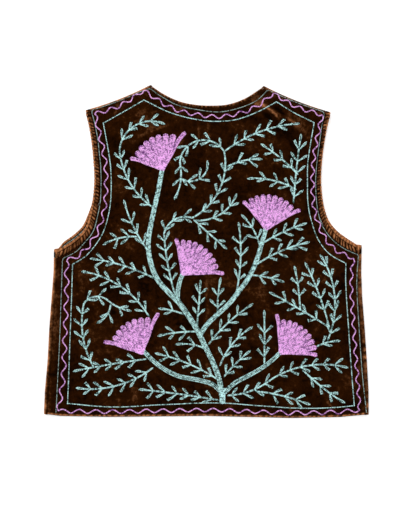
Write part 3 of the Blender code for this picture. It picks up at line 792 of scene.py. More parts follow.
def rails(places, widths, first, last, turn):
    """A line, and the line a band's width inwards, square to it but for its set ends."""
    count = np.arange(len(places))
    before, after = np.maximum(count - 1, 0), np.minimum(count + 1, len(places) - 1)
    run = unit(places[after] - places[before])
    inward = np.stack((-run[:, 1], run[:, 0]), 1) * turn
    share = (count / (len(places) - 1))[:, None]
    inward = inward + (np.array(first) - inward) * (1 - ease(share / TURN_OFF_SHARE))
    inward = inward + (np.array(last) - inward) * (1 - ease((1 - share) / TURN_OFF_SHARE))
    return places, places + unit(inward) * np.reshape(widths, (-1, 1))


def back_armhole(half, steps):
    """Rails of the back's armhole band from the side seam to the shoulder seam."""
    places = spline(half.armhole, steps)
    along, _ = shoulder_axes(half)
    edge, inner = rails(places[:, :2], places[:, 2], (0, -1), along, 1)
    share = np.linspace(0, 1, steps + 1)
    snap = ease((share - 0.94) / 0.06)[:, None]
    edge = edge + (on_shoulder_line(half, edge, SHOULDER_WRAP) - edge) * snap
    inner = inner + (on_shoulder_line(half, inner, SHOULDER_WRAP) - inner) * snap
    return edge, inner


def folded_end(starts, ends):
    """Lines from a fold line, its own place left out, to the seam beyond it."""
    lines = []
    for start, end in zip(starts, ends):
        way = np.linalg.norm(end - start)
        stops = HALF_TURN * np.arange(1, FOLD_STEPS + 1) / FOLD_STEPS / way
        stops = np.append(stops, 1 - SEAM_GAP / way)[:, None]
        lines.append(start + (end - start) * stops)
    return lines


def front_armhole(half, steps):
    """Rails of the front's armhole band: round the side fold, up the front, round the shoulder."""
    edge, inner = back_armhole(half, steps)
    rows = spline(half.armhole, steps)
    places = edge + unit(edge - inner) * rows[:, 3:4]
    places[0, 0] += SIDE_WRAP - FOLD_RADIUS
    places[-1:] = on_shoulder_line(half, places[-1:], FOLD_RADIUS)
    along, _ = shoulder_axes(half)
    outer, within = rails(places, rows[:, 2], (0, -1), along, 1)
    outer[-1:] = on_shoulder_line(half, outer[-1:], FOLD_RADIUS)
    within[-1:] = on_shoulder_line(half, within[-1:], FOLD_RADIUS)
    first, last = np.array((edge[0], inner[0])), np.array((edge[-1], inner[-1]))
    side = folded_end((outer[0], within[0]), unfolded_at_side(half, first))
    shoulder = folded_end((outer[-1], within[-1]), unfolded_at_shoulder(half, last))
    return side, (outer, within), shoulder


def back_neck(steps):
    """Rails of the back's neck binding from the left shoulder seam to the right one."""
    ends = []
    for half in (LEFT, RIGHT):
        along, _ = shoulder_axes(half)
        ends.append((-half.sign * along[0], -along[1]))
    return rails(spline(BACK_NECK, steps), np.full(steps + 1, BINDING_WIDTH), *ends, -1)


def front_neck(half, steps):
    """Rails of a front's neck binding: up from the centre edge, then round the shoulder fold."""
    top = on_shoulder_line(half, np.array([half.neck_point]), FOLD_RADIUS)[0]
    low = np.array((CENTRE_GAP / 2, FRONT_NECK_HEIGHT))
    share = np.linspace(0, 1, FRONT_NECK_STEPS + 1)
    size = top - low
    places = np.stack((low[0] + size[0] * share, low[1] + size[1] * share**FRONT_NECK_SCOOP), 1)
    along, _ = shoulder_axes(half)
    widths = np.full(steps + 1, BINDING_WIDTH)
    edge, inner = rails(evenly(places, steps), widths, (0, -1), -along, -1)
    edge[-1:] = on_shoulder_line(half, edge[-1:], FOLD_RADIUS)
    inner[-1:] = on_shoulder_line(half, inner[-1:], FOLD_RADIUS)
    seam = np.array([line[0 if half is LEFT else -1] for line in back_neck(steps)])
    seam[:, 0] *= half.sign
    return (edge, inner), folded_end((edge[-1], inner[-1]), unfolded_at_shoulder(half, seam))


def clear_of(edge, inner):
    """Places of a panel beside a band's inner edge."""
    return inner + unit(inner - edge) * SEAM_GAP


def filled(left, right, top, level_rows):
    """Grid of places between two edges, the upper rows bending gradually up to the top line."""
    across = np.linspace(0, 1, len(top))[None, :, None]
    bend = ease((np.arange(len(left)) - level_rows) / (len(left) - 1 - level_rows))
    flat = left[:, None] * (1 - across) + right[:, None] * across
    return flat + bend[:, None, None] * (top - flat[-1])


def back_side_line(half):
    """Outer edge of the back panel from the hem to the shoulder, inside the armhole band."""
    band = clear_of(*back_armhole(half, ARMHOLE_ROWS_OF_MESH))
    rows = np.linspace(HEM_EDGE_HEIGHTS[-1], band[0, 1], SIDE_ROWS_OF_MESH)[:-1]
    heights = np.append(HEM_EDGE_HEIGHTS[:-1], rows)
    side = np.stack((side_reach(half, heights) - SIDE_WRAP, heights), 1)
    return np.concatenate((side, band[:-1], on_shoulder_line(half, band[-1:], SHOULDER_WRAP)))


def back_grid():
    """Grid of places of the back panel."""
    lines = {half: back_side_line(half) for half in (LEFT, RIGHT)}
    neck = clear_of(*back_neck(NECK_COLUMNS))
    tops = []
    for half, corner in ((LEFT, neck[0]), (RIGHT, neck[-1])):
        inner = corner * (half.sign, 1)
        share = np.linspace(0, 1, SHOULDER_COLUMNS + 1)[:, None]
        seam = lines[half][-1] * (1 - share) + inner * share
        tops.append(on_shoulder_line(half, seam, SHOULDER_WRAP) * (half.sign, 1))
    top = np.concatenate((tops[0][:-1], neck, tops[1][-2::-1]))
    left, right = lines[LEFT] * (-1, 1), lines[RIGHT]
    top[0], top[-1] = left[-1], right[-1]
    return filled(left, right, top, len(HEM_EDGE_HEIGHTS) - 1 + SIDE_ROWS_OF_MESH)


def front_grids(half):
    """Grids of a front's places: the flat part, then the strips round the side and shoulder."""
    side_end, band, shoulder_end = front_armhole(half, FRONT_ARMHOLE_ROWS)
    neck, neck_end = front_neck(half, FRONT_NECK_COLUMNS)
    outer_band = clear_of(*band)
    corner = outer_band[0, 1]
    heights = np.linspace(0, corner, FRONT_SIDE_ROWS + 1)[:-1]
    folds = np.stack((side_reach(half, heights) - FOLD_RADIUS, heights), 1)
    seams = np.stack((side_reach(half, heights) - SIDE_WRAP, heights), 1)
    strip = np.array(folded_end(folds, unfolded_at_side(half, seams)))
    strip = np.concatenate((strip, clear_of(*side_end)[None]))
    outer = np.concatenate((folds, outer_band))
    outer[-1:] = on_shoulder_line(half, outer[-1:], FOLD_RADIUS)
    neck_line = clear_of(*neck)
    neck_line[-1:] = on_shoulder_line(half, neck_line[-1:], FOLD_RADIUS)
    centre = np.full(FRONT_ARMHOLE_ROWS + 1, CENTRE_GAP / 2)
    upper = np.stack((centre, np.linspace(corner, neck_line[0, 1], FRONT_ARMHOLE_ROWS + 1)), 1)
    inner = np.concatenate((np.stack((centre[0] + 0 * heights, heights), 1), upper))
    share = np.linspace(0, 1, FRONT_SHOULDER_COLUMNS + 1)[:, None]
    shoulder = neck_line[-1] * (1 - share) + outer[-1] * share
    shoulder = on_shoulder_line(half, shoulder, FOLD_RADIUS)
    flat = filled(inner, outer, np.concatenate((neck_line, shoulder[1:])), FRONT_SIDE_ROWS)
    near, far = clear_of(*neck_end), clear_of(*shoulder_end)
    wanted = [past_shoulder(half, line)[:, None] for line in (near, far)]
    turned = near[:, None] * (1 - share) + far[:, None] * share
    past = wanted[0] * (1 - share[:, 0]) + wanted[1] * share[:, 0]
    _, across = shoulder_axes(half)
    turned = turned + (past - past_shoulder(half, turned))[..., None] * across
    return flat, strip, turned


# Meshes

def alone():
    """Leave edit mode with nothing selected."""
    if bpy.context.object and bpy.context.object.mode != "OBJECT":
        bpy.ops.object.mode_set(mode="OBJECT")
    bpy.ops.object.select_all(action="DESELECT")


def take(piece):
    """Select one piece and make it the active one."""
    alone()
    piece.select_set(True)
    bpy.context.view_layer.objects.active = piece


def new_piece(name, points, faces, material):
    """A mesh object at the origin with its material."""
    mesh = bpy.data.meshes.new(name)
    mesh.from_pydata(np.reshape(points, (-1, 3)).tolist(), [], faces)
    mesh.materials.append(material)
    piece = bpy.data.objects.new(name, mesh)
    bpy.context.scene.collection.objects.link(piece)
    return piece


def note(piece, name, values):
    """Keep a number for each point of the piece, for its material."""
    kept = piece.data.attributes.new(name, "FLOAT", "POINT")
    kept.data.foreach_set("value", np.ravel(values).astype(np.float32))


def grid_faces(rows, columns, start=0):
    """Faces of a grid of points."""
    corner = start + np.arange(rows * columns).reshape(rows, columns)
    around = (corner[:-1, :-1], corner[:-1, 1:], corner[1:, 1:], corner[1:, :-1])
    return np.stack(around, -1).reshape(-1, 4).tolist()


def merge_points(piece):
    """Join points that lie in the same place."""
    take(piece)
    bpy.ops.object.mode_set(mode="EDIT")
    bpy.ops.mesh.select_all(action="SELECT")
    bpy.ops.mesh.remove_doubles(threshold=MERGE_DISTANCE)
    bpy.ops.object.mode_set(mode="OBJECT")


def give_wall(piece, rounding):
    """Turn a face of cloth into a wall with softened edges."""
    take(piece)
    wall = piece.modifiers.new("Wall", "SOLIDIFY")
    wall.thickness = CLOTH
    wall.offset = -1
    wall.use_even_offset = True
    wall.use_quality_normals = True
    bpy.ops.object.modifier_apply(modifier=wall.name)
    edge = piece.modifiers.new("Edge", "BEVEL")
    edge.width = rounding
    edge.segments = 2
    edge.limit_method = "ANGLE"
    edge.angle_limit = radians(50)
    bpy.ops.object.modifier_apply(modifier=edge.name)
    bpy.ops.object.shade_smooth_by_angle(angle=radians(60))


def loft(name, sections, material):
    """A closed strip through sections of equal point count, with both ends capped."""
    count, around = sections.shape[:2]
    corner = np.arange(count * around).reshape(count, around)
    after = np.roll(corner, -1, axis=1)
    faces = np.stack((corner[:-1], after[:-1], after[1:], corner[1:]), -1).reshape(-1, 4).tolist()
    faces.append(corner[0, ::-1].tolist())
    faces.append(corner[-1].tolist())
    piece = new_piece(name, sections, faces, material)
    take(piece)
    bpy.ops.object.mode_set(mode="EDIT")
    bpy.ops.mesh.select_all(action="SELECT")
    bpy.ops.mesh.normals_make_consistent(inside=False)
    bpy.ops.object.mode_set(mode="OBJECT")
    bpy.ops.object.shade_smooth_by_angle(angle=radians(70))
    return piece


def sew_on(piece):
    """Every piece goes with the one body."""
    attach(piece, "root")


def needed(name):
    """A piece that an earlier step made."""
    piece = bpy.data.objects.get(name)
    if piece is None:
        raise RuntimeError(f"{name} has to be made before this step")
    return piece


def pick(piece, wanted):
    """In edit mode, select the points that pass the test."""
    work = bmesh.from_edit_mesh(piece.data)
    for point in work.verts:
        point.select_set(wanted(point.co))
    work.select_flush(False)
    bmesh.update_edit_mesh(piece.data)


def chain_loop():
    """A loop of chain stitch along +X, 1 long and 1 wide: points, faces and light, 0 to 1."""
    alone()
    bpy.ops.mesh.primitive_torus_add(
        major_segments=6, minor_segments=4, major_radius=0.36, minor_radius=0.19
    )
    loop = bpy.context.object
    bpy.ops.object.mode_set(mode="EDIT")
    bpy.ops.mesh.select_mode(type="VERT")
    bpy.ops.mesh.select_all(action="SELECT")
    bpy.ops.transform.resize(value=(1.42, 1.0, 0.9), center_override=(0, 0, 0))
    pick(loop, lambda point: point.x < -0.12)
    bpy.ops.transform.resize(value=(1.12, 0.62, 1.0), center_override=(0, 0, 0))
    pick(loop, lambda point: point.x < -0.42)
    bpy.ops.transform.translate(value=(0.02, 0, -0.16))
    pick(loop, lambda point: point.x > 0.4)
    bpy.ops.transform.translate(value=(-0.03, 0, 0.05))
    bpy.ops.object.mode_set(mode="OBJECT")
    points = np.array([point.co for point in loop.data.vertices])
    faces = np.array([face.vertices for face in loop.data.polygons])
    bpy.data.objects.remove(loop, do_unlink=True)
    # Painted light: darker in the hollow, low down and at the tucked-in end, lighter on top.
    around = np.hypot(points[:, 0] / 0.78, points[:, 1] / 0.55)
    crest = ease((around - 0.28) / 0.42) * ease((points[:, 2] + 0.14) / 0.26)
    return points, faces, crest * (0.30 + 0.70 * ease((points[:, 0] + 0.62) / 0.60))


def dash():
    """A dash of topstitching along +X, 1 long and 1 wide: points, faces and light, 0 to 1."""
    alone()
    bpy.ops.mesh.primitive_uv_sphere_add(segments=6, ring_count=5, radius=0.5)
    bead = bpy.context.object
    bpy.ops.object.mode_set(mode="EDIT")
    bpy.ops.mesh.select_all(action="SELECT")
    bpy.ops.mesh.quads_convert_to_tris()
    bpy.ops.transform.resize(value=(1.0, 1.0, 0.7), center_override=(0, 0, 0))
    bpy.ops.object.mode_set(mode="OBJECT")
    points = np.array([point.co for point in bead.data.vertices])[:, [2, 0, 1]]
    # Blender lists the new triangles in another order each time
    faces = np.array(sorted(tuple(face.vertices) for face in bead.data.polygons))
    bpy.data.objects.remove(bead, do_unlink=True)
    # Painted light: lighter on top.
    return points, faces, ease(points[:, 2] * 2 + 0.5)


def copied(name, shape, places, headings, sizes, lift, material, on=back_face):
    """One mesh of a shape set at many places on a face of cloth, each along its heading."""
    chance = np.random.default_rng(len(places))
    points, faces, crest = shape
    spots, normals = on(places)
    ahead = unit(np.stack((headings[:, 0], headings[:, 1], np.zeros(len(headings))), 1))
    turn = chance.normal(0, UNEVENNESS, len(places))[:, None]
    ahead = ahead + np.cross(normals, ahead) * turn
    ahead = unit(ahead - normals * np.sum(ahead * normals, axis=1, keepdims=True))
    across = np.cross(normals, ahead)
    sizes = sizes * (1 + chance.normal(0, UNEVENNESS, (len(places), 3)))
    scaled = points[None] * sizes[:, None]
    lift = lift + sizes[:, 2:] * chance.normal(0, UNEVENNESS, (len(places), 1))
    placed = (spots + normals * lift)[:, None] + (
        scaled[..., :1] * ahead[:, None]
        + scaled[..., 1:2] * across[:, None]
        + scaled[..., 2:] * normals[:, None]
    )
    every = faces[None] + (np.arange(len(places)) * len(points))[:, None, None]
    piece = new_piece(name, placed, every.reshape(-1, faces.shape[1]).tolist(), material)
    note(piece, "shade", np.repeat(chance.uniform(0, 1, len(places)), len(points)))
    note(piece, "crest", np.tile(crest, len(places)))
    take(piece)
    bpy.ops.object.shade_smooth()
    return piece


def paced(line, pitch):
    """Places at an even pitch along a line, and the way the line goes at each."""
    length = walked(line)[-1]
    count = max(int(round(length / pitch)), 1)
    stops = (np.arange(count) + 0.5) * length / count
    step = length / count / 2
    return at(line, stops), at(line, stops + step) - at(line, stops - step)


def chain_stitched(name, courses, material):
    """One piece of chain stitch along all the courses."""
    sewing = bpy.context.scene.waistcoat_stitches
    places, headings, sizes = [], [], []
    for course in courses:
        spots, ways = paced(course.line, course.pitch)
        places.append(spots)
        headings.append(ways)
        length = course.pitch * sewing.overlap
        sizes.append(np.tile((length, course.width, course.width * 0.8), (len(spots), 1)))
    return copied(
        name, chain_loop(), np.concatenate(places), np.concatenate(headings),
        np.concatenate(sizes), sewing.lift, material,
    )


# Materials

class Wire:
    """A socket of a material; arithmetic on it adds Math nodes."""

    def __init__(self, finish, socket):
        self.finish = finish
        self.socket = socket

    def math(self, operation, *terms, clamp=False):
        """A Math node on the terms."""
        settings = {"operation": operation, "use_clamp": clamp}
        return self.finish.node("ShaderNodeMath", settings, dict(enumerate(terms)))

    def __add__(self, other):
        return self.math("ADD", self, other)

    __radd__ = __add__

    def __sub__(self, other):
        return self.math("SUBTRACT", self, other)

    def __rsub__(self, other):
        return self.math("SUBTRACT", other, self)

    def __mul__(self, other):
        return self.math("MULTIPLY", self, other)

    __rmul__ = __mul__

    def clipped(self):
        """The same value kept between 0 and 1."""
        return self.math("ADD", self, 0.0, clamp=True)


class Finish:
    """A material for one kind of cloth or yarn, and the one way in which its nodes are added."""

    def __init__(self, name, colour, roughness, sheen, sheen_tint):
        self.material = bpy.data.materials.new(name)
        self.material.use_nodes = True
        self.material.diffuse_color = (*colour, 1)
        self.tree = self.material.node_tree
        self.shader = self.tree.nodes["Principled BSDF"]
        self.feed(self.shader.inputs["Base Color"], (*colour, 1))
        self.feed(self.shader.inputs["Roughness"], roughness)
        self.feed(self.shader.inputs["Specular IOR Level"], 0.0)
        self.feed(self.shader.inputs["Sheen Weight"], sheen)
        self.feed(self.shader.inputs["Sheen Roughness"], 0.3)
        self.feed(self.shader.inputs["Sheen Tint"], (*sheen_tint, 1))
        self.place = self.node("ShaderNodeTexCoord", {}, {}, "Object")

    def feed(self, socket, value):
        """Link a wire to a socket, or set the socket to a plain value."""
        if isinstance(value, Wire):
            self.tree.links.new(value.socket, socket)
        else:
            socket.default_value = value

    def node(self, kind, settings, inputs, output=0):
        """Add a node: its settings first, a ramp's stops among them, then its inputs."""
        node = self.tree.nodes.new(kind)
        for name, value in settings.items():
            if name == "stops":
                while len(node.color_ramp.elements) < len(value):
                    node.color_ramp.elements.new(0.5)
                for element, (stop, colour) in zip(node.color_ramp.elements, value):
                    element.position = stop
                    element.color = (*colour, 1)
            else:
                setattr(node, name, value)
        for key, value in inputs.items():
            self.feed(node.inputs[key], value)
        return Wire(self, node.outputs[output])

    def noise(self, scale, detail, stretch=(1, 1, 1), warp=0.0):
        """Noise over the piece's own coordinates."""
        place = self.place
        if stretch != (1, 1, 1):
            place = self.node("ShaderNodeMapping", {}, {"Vector": place, "Scale": stretch})
        inputs = {"Vector": place, "Scale": scale, "Detail": detail, "Distortion": warp}
        return self.node("ShaderNodeTexNoise", {}, inputs)

    def kept(self, name):
        """A number noted at the piece's points."""
        return self.node("ShaderNodeAttribute", {"attribute_name": name}, {}, "Fac")

    def ramp(self, share, stops):
        """The colour at a share of the way along the stops."""
        return self.node("ShaderNodeValToRGB", {"stops": stops}, {"Fac": share}, "Color")

    def raise_by(self, height, distance, strength):
        """Bump the surface."""
        inputs = {"Height": height, "Distance": distance, "Strength": strength}
        normal = self.node("ShaderNodeBump", {}, inputs)
        self.feed(self.shader.inputs["Normal"], normal)

    def colour_by(self, colour):
        """Colour the surface."""
        self.feed(self.shader.inputs["Base Color"], colour)


def velvet_finish(name, lift=0.0, contrast=1.0):
    """Crushed velvet: dark where the pile stands, copper where it lies over, with painted shade,
    highlights and sheen.
    """
    look = bpy.context.scene.waistcoat_velvet
    shadow, ground, pile = tuple(look.shadow), tuple(look.ground), tuple(look.pile)
    finish = Finish(name, ground, 0.82, look.sheen, (0.90, 0.36, 0.14))
    patches = finish.noise(17, 3.0, warp=0.6)
    mottle = finish.noise(62, 3.0, warp=1.2)
    strokes = finish.noise(1.0, 3.0, stretch=(110, 34, 40), warp=0.8)
    crush = finish.noise(190, 3.0)
    grain = finish.noise(640, 2.0)
    # The number noted at each point carries both how the pile lies and painted highlights, sheen
    # and shade.
    nap_and_light = finish.kept("nap")
    share = nap_and_light + (patches - 0.5) * (0.50 * contrast) + (mottle - 0.5) * (0.50 * contrast)
    # A lift makes a lighter copy of the velvet: crushed pile with a painted sheen.
    share = share + (strokes - 0.5) * nap_and_light * (0.45 * contrast) + lift
    share = share + (crush - 0.5) * nap_and_light * (1.25 * contrast) + (grain - 0.5) * 0.36
    middle = tuple(a + (b - a) * 0.28 for a, b in zip(ground, pile))
    # The shadow stop also serves as painted shade, the laid pile stop as painted highlight and
    # sheen.
    stops = ((0.10, shadow), (0.40, ground), (0.70, middle), (1.0, pile))
    finish.colour_by(finish.ramp(share.clipped(), stops))
    finish.raise_by(grain * 0.5 + crush * 0.5, 0.0007, 0.55)
    return finish.material


def yarn_finish(name, light, dark):
    """Soft cotton yarn with painted shade in the hollow of each loop, painted light on its top, and
    flecks of twist.
    """
    finish = Finish(name, light, 0.80, 0.12, tuple(light))
    fleck = finish.noise(560, 0.0)
    twist = finish.noise(1700, 2.0)
    share = finish.kept("crest") * 1.3 + (finish.kept("shade") - 0.5) * 1.7
    share = share + (fleck - 0.5) * 2.2 + (twist - 0.5) * 0.4
    middle = tuple(a * 0.39 + b * 0.61 for a, b in zip(dark, light))
    finish.colour_by(finish.ramp(share.clipped(), ((0.05, dark), (0.5, middle), (0.95, light))))
    finish.raise_by(twist, 0.0002, 0.5)
    return finish.material


# Sizes and colours that a user would change

def colour_setting(name, description, default):
    """A colour that a user may change."""
    return FloatVectorProperty(
        name=name, description=description, default=default, subtype="COLOR", size=3, min=0, max=1)


def length_setting(name, description, default, low, high, precision=4):
    """A length in metres that a user may change between two limits."""
    return FloatProperty(
        name=name, description=description, default=default, min=low, max=high,
        precision=precision, unit="LENGTH")


class VelvetSettings(PropertyGroup):
    """How the velvet looks and creases."""

    # Shadow is both the darkest standing pile and painted shade; laid pile is both copper pile and
    # painted highlight and sheen.
    shadow: colour_setting(
        "Shadow", "Velvet where its pile stands up", (0.0030, 0.0010, 0.0002))
    ground: colour_setting(
        "Ground", "Main colour of the velvet", (0.0212, 0.0056, 0.0008))
    pile: colour_setting(
        "Laid pile", "Velvet where its pile lies over and shines", (0.42, 0.165, 0.064))
    sheen: FloatProperty(
        name="Sheen", description="Strength of the pile's sheen", default=0.05, min=0, max=1,
        subtype="FACTOR")
    crease_depth: FloatProperty(
        name="Crease depth", description="Depth of the smaller creases, as a share of the real one",
        default=1.0, min=0, max=2)


class BandSettings(PropertyGroup):
    """Gathers of the armhole bands, and the neck's roll."""

    gathers: IntProperty(
        name="Gathers", description="Gathers along each armhole band of the back", default=48,
        min=10, max=80)
    gather_rise: length_setting(
        "Gather rise", "Height of a gather above the valley beside it", 0.0012, 0, 0.002)
    gather_sway: length_setting(
        "Gather sway", "How far a gather pulls the band's edge in and out", 0.0006, 0, 0.002)
    band_crown: length_setting(
        "Band crown", "Height of the band's roll above the cloth", 0.0011, 0, 0.003)
    binding_crown: length_setting(
        "Binding crown", "Height of the neck's roll above the cloth", 0.0008, 0, 0.003)


class StitchSettings(PropertyGroup):
    """Yarn and stitches of the embroidery."""

    pitch: length_setting(
        "Stitch pitch", "Distance from one loop of chain stitch to the next", 0.0028, 0.0015, 0.005)
    overlap: FloatProperty(
        name="Overlap", description="Length of a loop as a share of the pitch", default=1.28,
        min=1, max=2)
    lift: length_setting(
        "Lift", "Height of a loop's middle above the velvet", 0.00045, 0, 0.002, precision=5)
    leaf: length_setting(
        "Leaf length", "Length of a leaf of a sprig", 0.0165, 0.008, 0.03)
    leaf_angle: FloatProperty(
        name="Leaf angle", description="Angle between a leaf and its rib", default=radians(44),
        min=radians(20), max=radians(80), subtype="ANGLE")
    wave: length_setting(
        "Wave", "How far the border's waved line swings to each side", 0.0034, 0.001, 0.008)
    green: colour_setting(
        "Green yarn", "Yarn of the stems, sprigs and inner line", (0.62, 0.95, 0.94))
    dull_green: colour_setting(
        "Dull green yarn", "Yarn of the outer line", (0.40, 0.54, 0.51))
    lilac: colour_setting(
        "Lilac yarn", "Yarn of the flowers and the waved line", (1.0, 0.54, 1.0))
    thread: colour_setting(
        "Thread", "Thread of the topstitching", (0.06, 0.026, 0.012))


class StageSettings(PropertyGroup):
    """Floor, light and camera."""

    floor: colour_setting("Floor", "Colour of the floor", (0.92, 0.92, 0.92))
    floor_glow: FloatProperty(
        name="Floor glow", description="Light of the floor's own, so that it stays white",
        default=0.30, min=0, max=2)
    key: FloatProperty(
        name="Key light", description="Power of the large light above", default=31.0, min=0,
        max=500, unit="POWER")
    fill: FloatProperty(
        name="Fill light", description="Strength of the light from all round", default=0.75,
        min=0, max=3)
    camera_height: length_setting(
        "Camera height", "Distance of the camera above the floor", 2.4, 1, 10, precision=2)


# Steps of the making

class WAISTCOAT_OT_back(Operator):
    """Lay the back panel over the fronts with its folds and creases."""

    bl_idname = "waistcoat.back"
    bl_label = "Back panel"

    def execute(self, context):
        grid = back_grid()
        rows, columns = grid.shape[:2]
        places = grid.reshape(-1, 2)
        points, normals = back_face(places)
        piece = new_piece("back_cloth", points, grid_faces(rows, columns), velvet_finish("velvet"))
        note(piece, "nap", back_nap_and_painted_light(places, normals))
        give_wall(piece, 0.0006)
        sew_on(piece)
        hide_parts("back")
        return {"FINISHED"}


def back_nap_and_painted_light(places, normals):
    """How light the back's pile is, from 0 to 1: painted highlight and shade on its slopes and
    creases, and wear at its sides and seams.
    """
    x, height = places[:, 0], places[:, 1]
    creased = crease_rise(x, height)
    # Painted light: slopes that face the right side and the neck are painted lighter, crease ridges
    # get a painted highlight and crease valleys painted shade.
    lit = 0.28 + 0.55 * (normals[:, 0] * 0.55 + normals[:, 1] * 0.80)
    lit = lit + RIDGE_HIGHLIGHT * np.maximum(creased, 0) + VALLEY_SHADE * np.minimum(creased, 0)
    for half in (LEFT, RIGHT):
        on_half = np.sign(x) == half.sign
        reach = side_reach(half, np.minimum(height, UNDERARM)) - SIDE_WRAP
        from_side = reach - np.abs(x) + np.maximum(height - SIDE_NAP_TOP, 0) * 1.4
        from_shoulder = -past_shoulder(half, np.stack((np.abs(x), height), -1))
        laid = 0.12 * ease(1 - from_side / 0.014) + 0.10 * ease(1 - from_shoulder / 0.060)
        lit = lit + np.where(on_half, laid, 0)
    ticks = 0.5 + 0.5 * np.sin(1140 * x + 2 * np.sin(90 * x))
    lit = lit + 1.10 * ease(1 - (height - 0.001) / 0.0036) * (0.45 + 0.55 * ticks)
    return lit


class WAISTCOAT_OT_fronts(Operator):
    """Lay the two fronts underneath, turned up round the sides and the shoulders."""

    bl_idname = "waistcoat.fronts"
    bl_label = "Front panels"

    def execute(self, context):
        material = velvet_finish("velvet_of_fronts", contrast=1.1)
        for half in (LEFT, RIGHT):
            flat, strip, turned = front_grids(half)
            strip = np.concatenate((flat[:len(strip), -1:], strip), axis=1)
            turned = np.concatenate((flat[-1:, FRONT_NECK_COLUMNS:], turned))
            points, faces, naps_and_painted_light = [], [], []
            for patch in (flat, strip, turned):
                start = sum(len(part) for part in points)
                laid = lay_front(half, patch, 0.0)
                flipped = laid[::-1] if half.sign > 0 else laid
                points.append(flipped.reshape(-1, 3))
                faces += grid_faces(*flipped.shape[:2], start)
                naps_and_painted_light.append(front_nap_and_painted_sheen(half, flipped.reshape(-1, 3)))
            piece = new_piece(f"front_{half.name}_cloth", np.concatenate(points), faces, material)
            note(piece, "nap", np.concatenate(naps_and_painted_light))
            merge_points(piece)
            give_wall(piece, 0.0005)
            sew_on(piece)
            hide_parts(f"front_{half.name}")
        return {"FINISHED"}


def front_nap_and_painted_sheen(half, points):
    """How light a front's pile is: lighter along its turned edges, the right side most, from wear
    and a painted sheen.
    """
    x, height = np.abs(points[:, 0]), points[:, 1] + MIDDLE
    side = np.where(height < half.armhole[0].height, side_reach(half, height) - x, 1)
    shoulder = FOLD_RADIUS - past_shoulder(half, np.stack((x, height), 1))
    near = np.minimum(side, shoulder)
    uneven = 0.16 * np.sin(230 * height + 5 * np.sin(61 * height)) + 0.10 * np.sin(470 * height)
    wear_and_painted_light = WORN_AND_SHEEN_EDGE[half.name]
    # Lighter near the turned edges: wear, with a painted sheen on the rolled fold.
    return 0.34 + (wear_and_painted_light.more + uneven) * np.exp(-(near / wear_and_painted_light.fade) ** 2)


class WAISTCOAT_OT_armhole_bands(Operator):
    """Gather a turned band along each armhole edge of the back and of the fronts."""

    bl_idname = "waistcoat.armhole_bands"
    bl_label = "Armhole bands"

    def execute(self, context):
        # A lighter copy of the velvet for the bands: crushed pile with a painted sheen.
        material = velvet_finish("velvet_of_bands", lift=0.055, contrast=0.85)
        for half in (LEFT, RIGHT):
            for side, make in (("back", gathered_band), ("front", plain_band)):
                piece = make(half, material, context.scene.waistcoat_bands)
                sew_on(piece)
                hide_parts(f"armhole_band_{side}_{half.name}")
        return {"FINISHED"}


def gathering(half, phase, gathers):
    """Height of the gathers, from -1 in a valley to 1 on a ridge; phase counts the gathers."""
    chance = np.random.default_rng(11 if half is LEFT else 12)
    marks = np.arange(gathers + 4)
    pushes = chance.uniform(-0.34, 0.34, len(marks))
    heights = chance.uniform(0.35, 1.0, len(marks))
    moved = phase + np.interp(phase, marks, pushes)
    ridge = 1 - 2 * np.abs(np.sin(pi * moved)) ** 2.6
    return ridge * np.interp(phase, marks, heights)


def band_nap_and_painted_light(across, puff, rim, folds, patchy):
    """How light a turned band is at a share of its width: a lighter rim from wear and a painted
    sheen, painted highlight and shade on the gathers, painted shade in the groove and towards the
    seam, and lighter patches.
    """
    # Painted light: the rim gets a painted sheen, the gathers' ridges a painted highlight and their
    # valleys painted shade.
    if across < GROOVE - 0.04:
        lit = 0.84 + (0.46 - 0.22 * puff) * rim
    else:
        lit = 0.42 + 0.12 * puff + (0.36 + 0.06 * puff) * folds
    # Painted shade in the groove.
    wear_and_painted_light = 1 - (0.30 + 0.50 * puff) * np.exp(-((across - GROOVE) / 0.04) ** 2)
    lit = lit + 0.22 * (1 - puff) * patchy
    # Painted shade towards the seam at the inner edge.
    return lit * wear_and_painted_light * (1 - 0.50 * ease((across - 0.74) / 0.26))


def velvet_strip(name, sections, naps_and_painted_light, material):
    """A loft of velvet through its sections, with how the pile lies and its painted light at each
    of their points.
    """
    piece = loft(name, np.stack(sections, 1), material)
    note(piece, "nap", np.stack(naps_and_painted_light, 1))
    return piece


def gathered_band(half, material, sizes):
    """The band on an armhole edge of the back: a gathered rim, a groove and a fuller roll."""
    steps = sizes.gathers * SECTIONS_PER_GATHER
    edge, inner = back_armhole(half, steps)
    width = np.linalg.norm(inner - edge, axis=1)
    fullness = width / WIDEST_BAND
    puff = ease((fullness - 0.55) / 0.45)
    inward = (inner - edge) / width[:, None]
    count = np.linspace(0, sizes.gathers, steps + 1)
    rim = gathering(half, count * 0.9 + 1, sizes.gathers)
    patchy = np.sin(2.3 * count + 3 * np.sin(0.7 * count)) * np.sin(5.1 * count + 1)
    sections, naps_and_painted_light = [], []
    for ring in TURNED_BAND:
        past = ease((ring.across - GROOVE) / 0.10)
        folds = gathering(half, count + GATHER_SLANT * ring.across * fullness, sizes.gathers)
        here = rim * 0.5 * (1 - past) + folds * past
        sway = sizes.gather_sway * rim * fullness + PILE[half.name]
        places = edge + (inner - edge) * ring.across - inward * (sway * (1 - ring.across))[:, None]
        crown = ring.crown * (sizes.band_crown + sizes.gather_rise / 2 * here * (0.3 + 0.7 * puff))
        x, height = half.sign * places[:, 0], places[:, 1]
        z = back_height(x, height) - ring.depth * CLOTH + crown
        sections.append(in_space(x, height, z))
        naps_and_painted_light.append(band_nap_and_painted_light(ring.across, puff, rim, folds, patchy))
    return velvet_strip(f"armhole_band_back_{half.name}_cloth", sections, naps_and_painted_light, material)


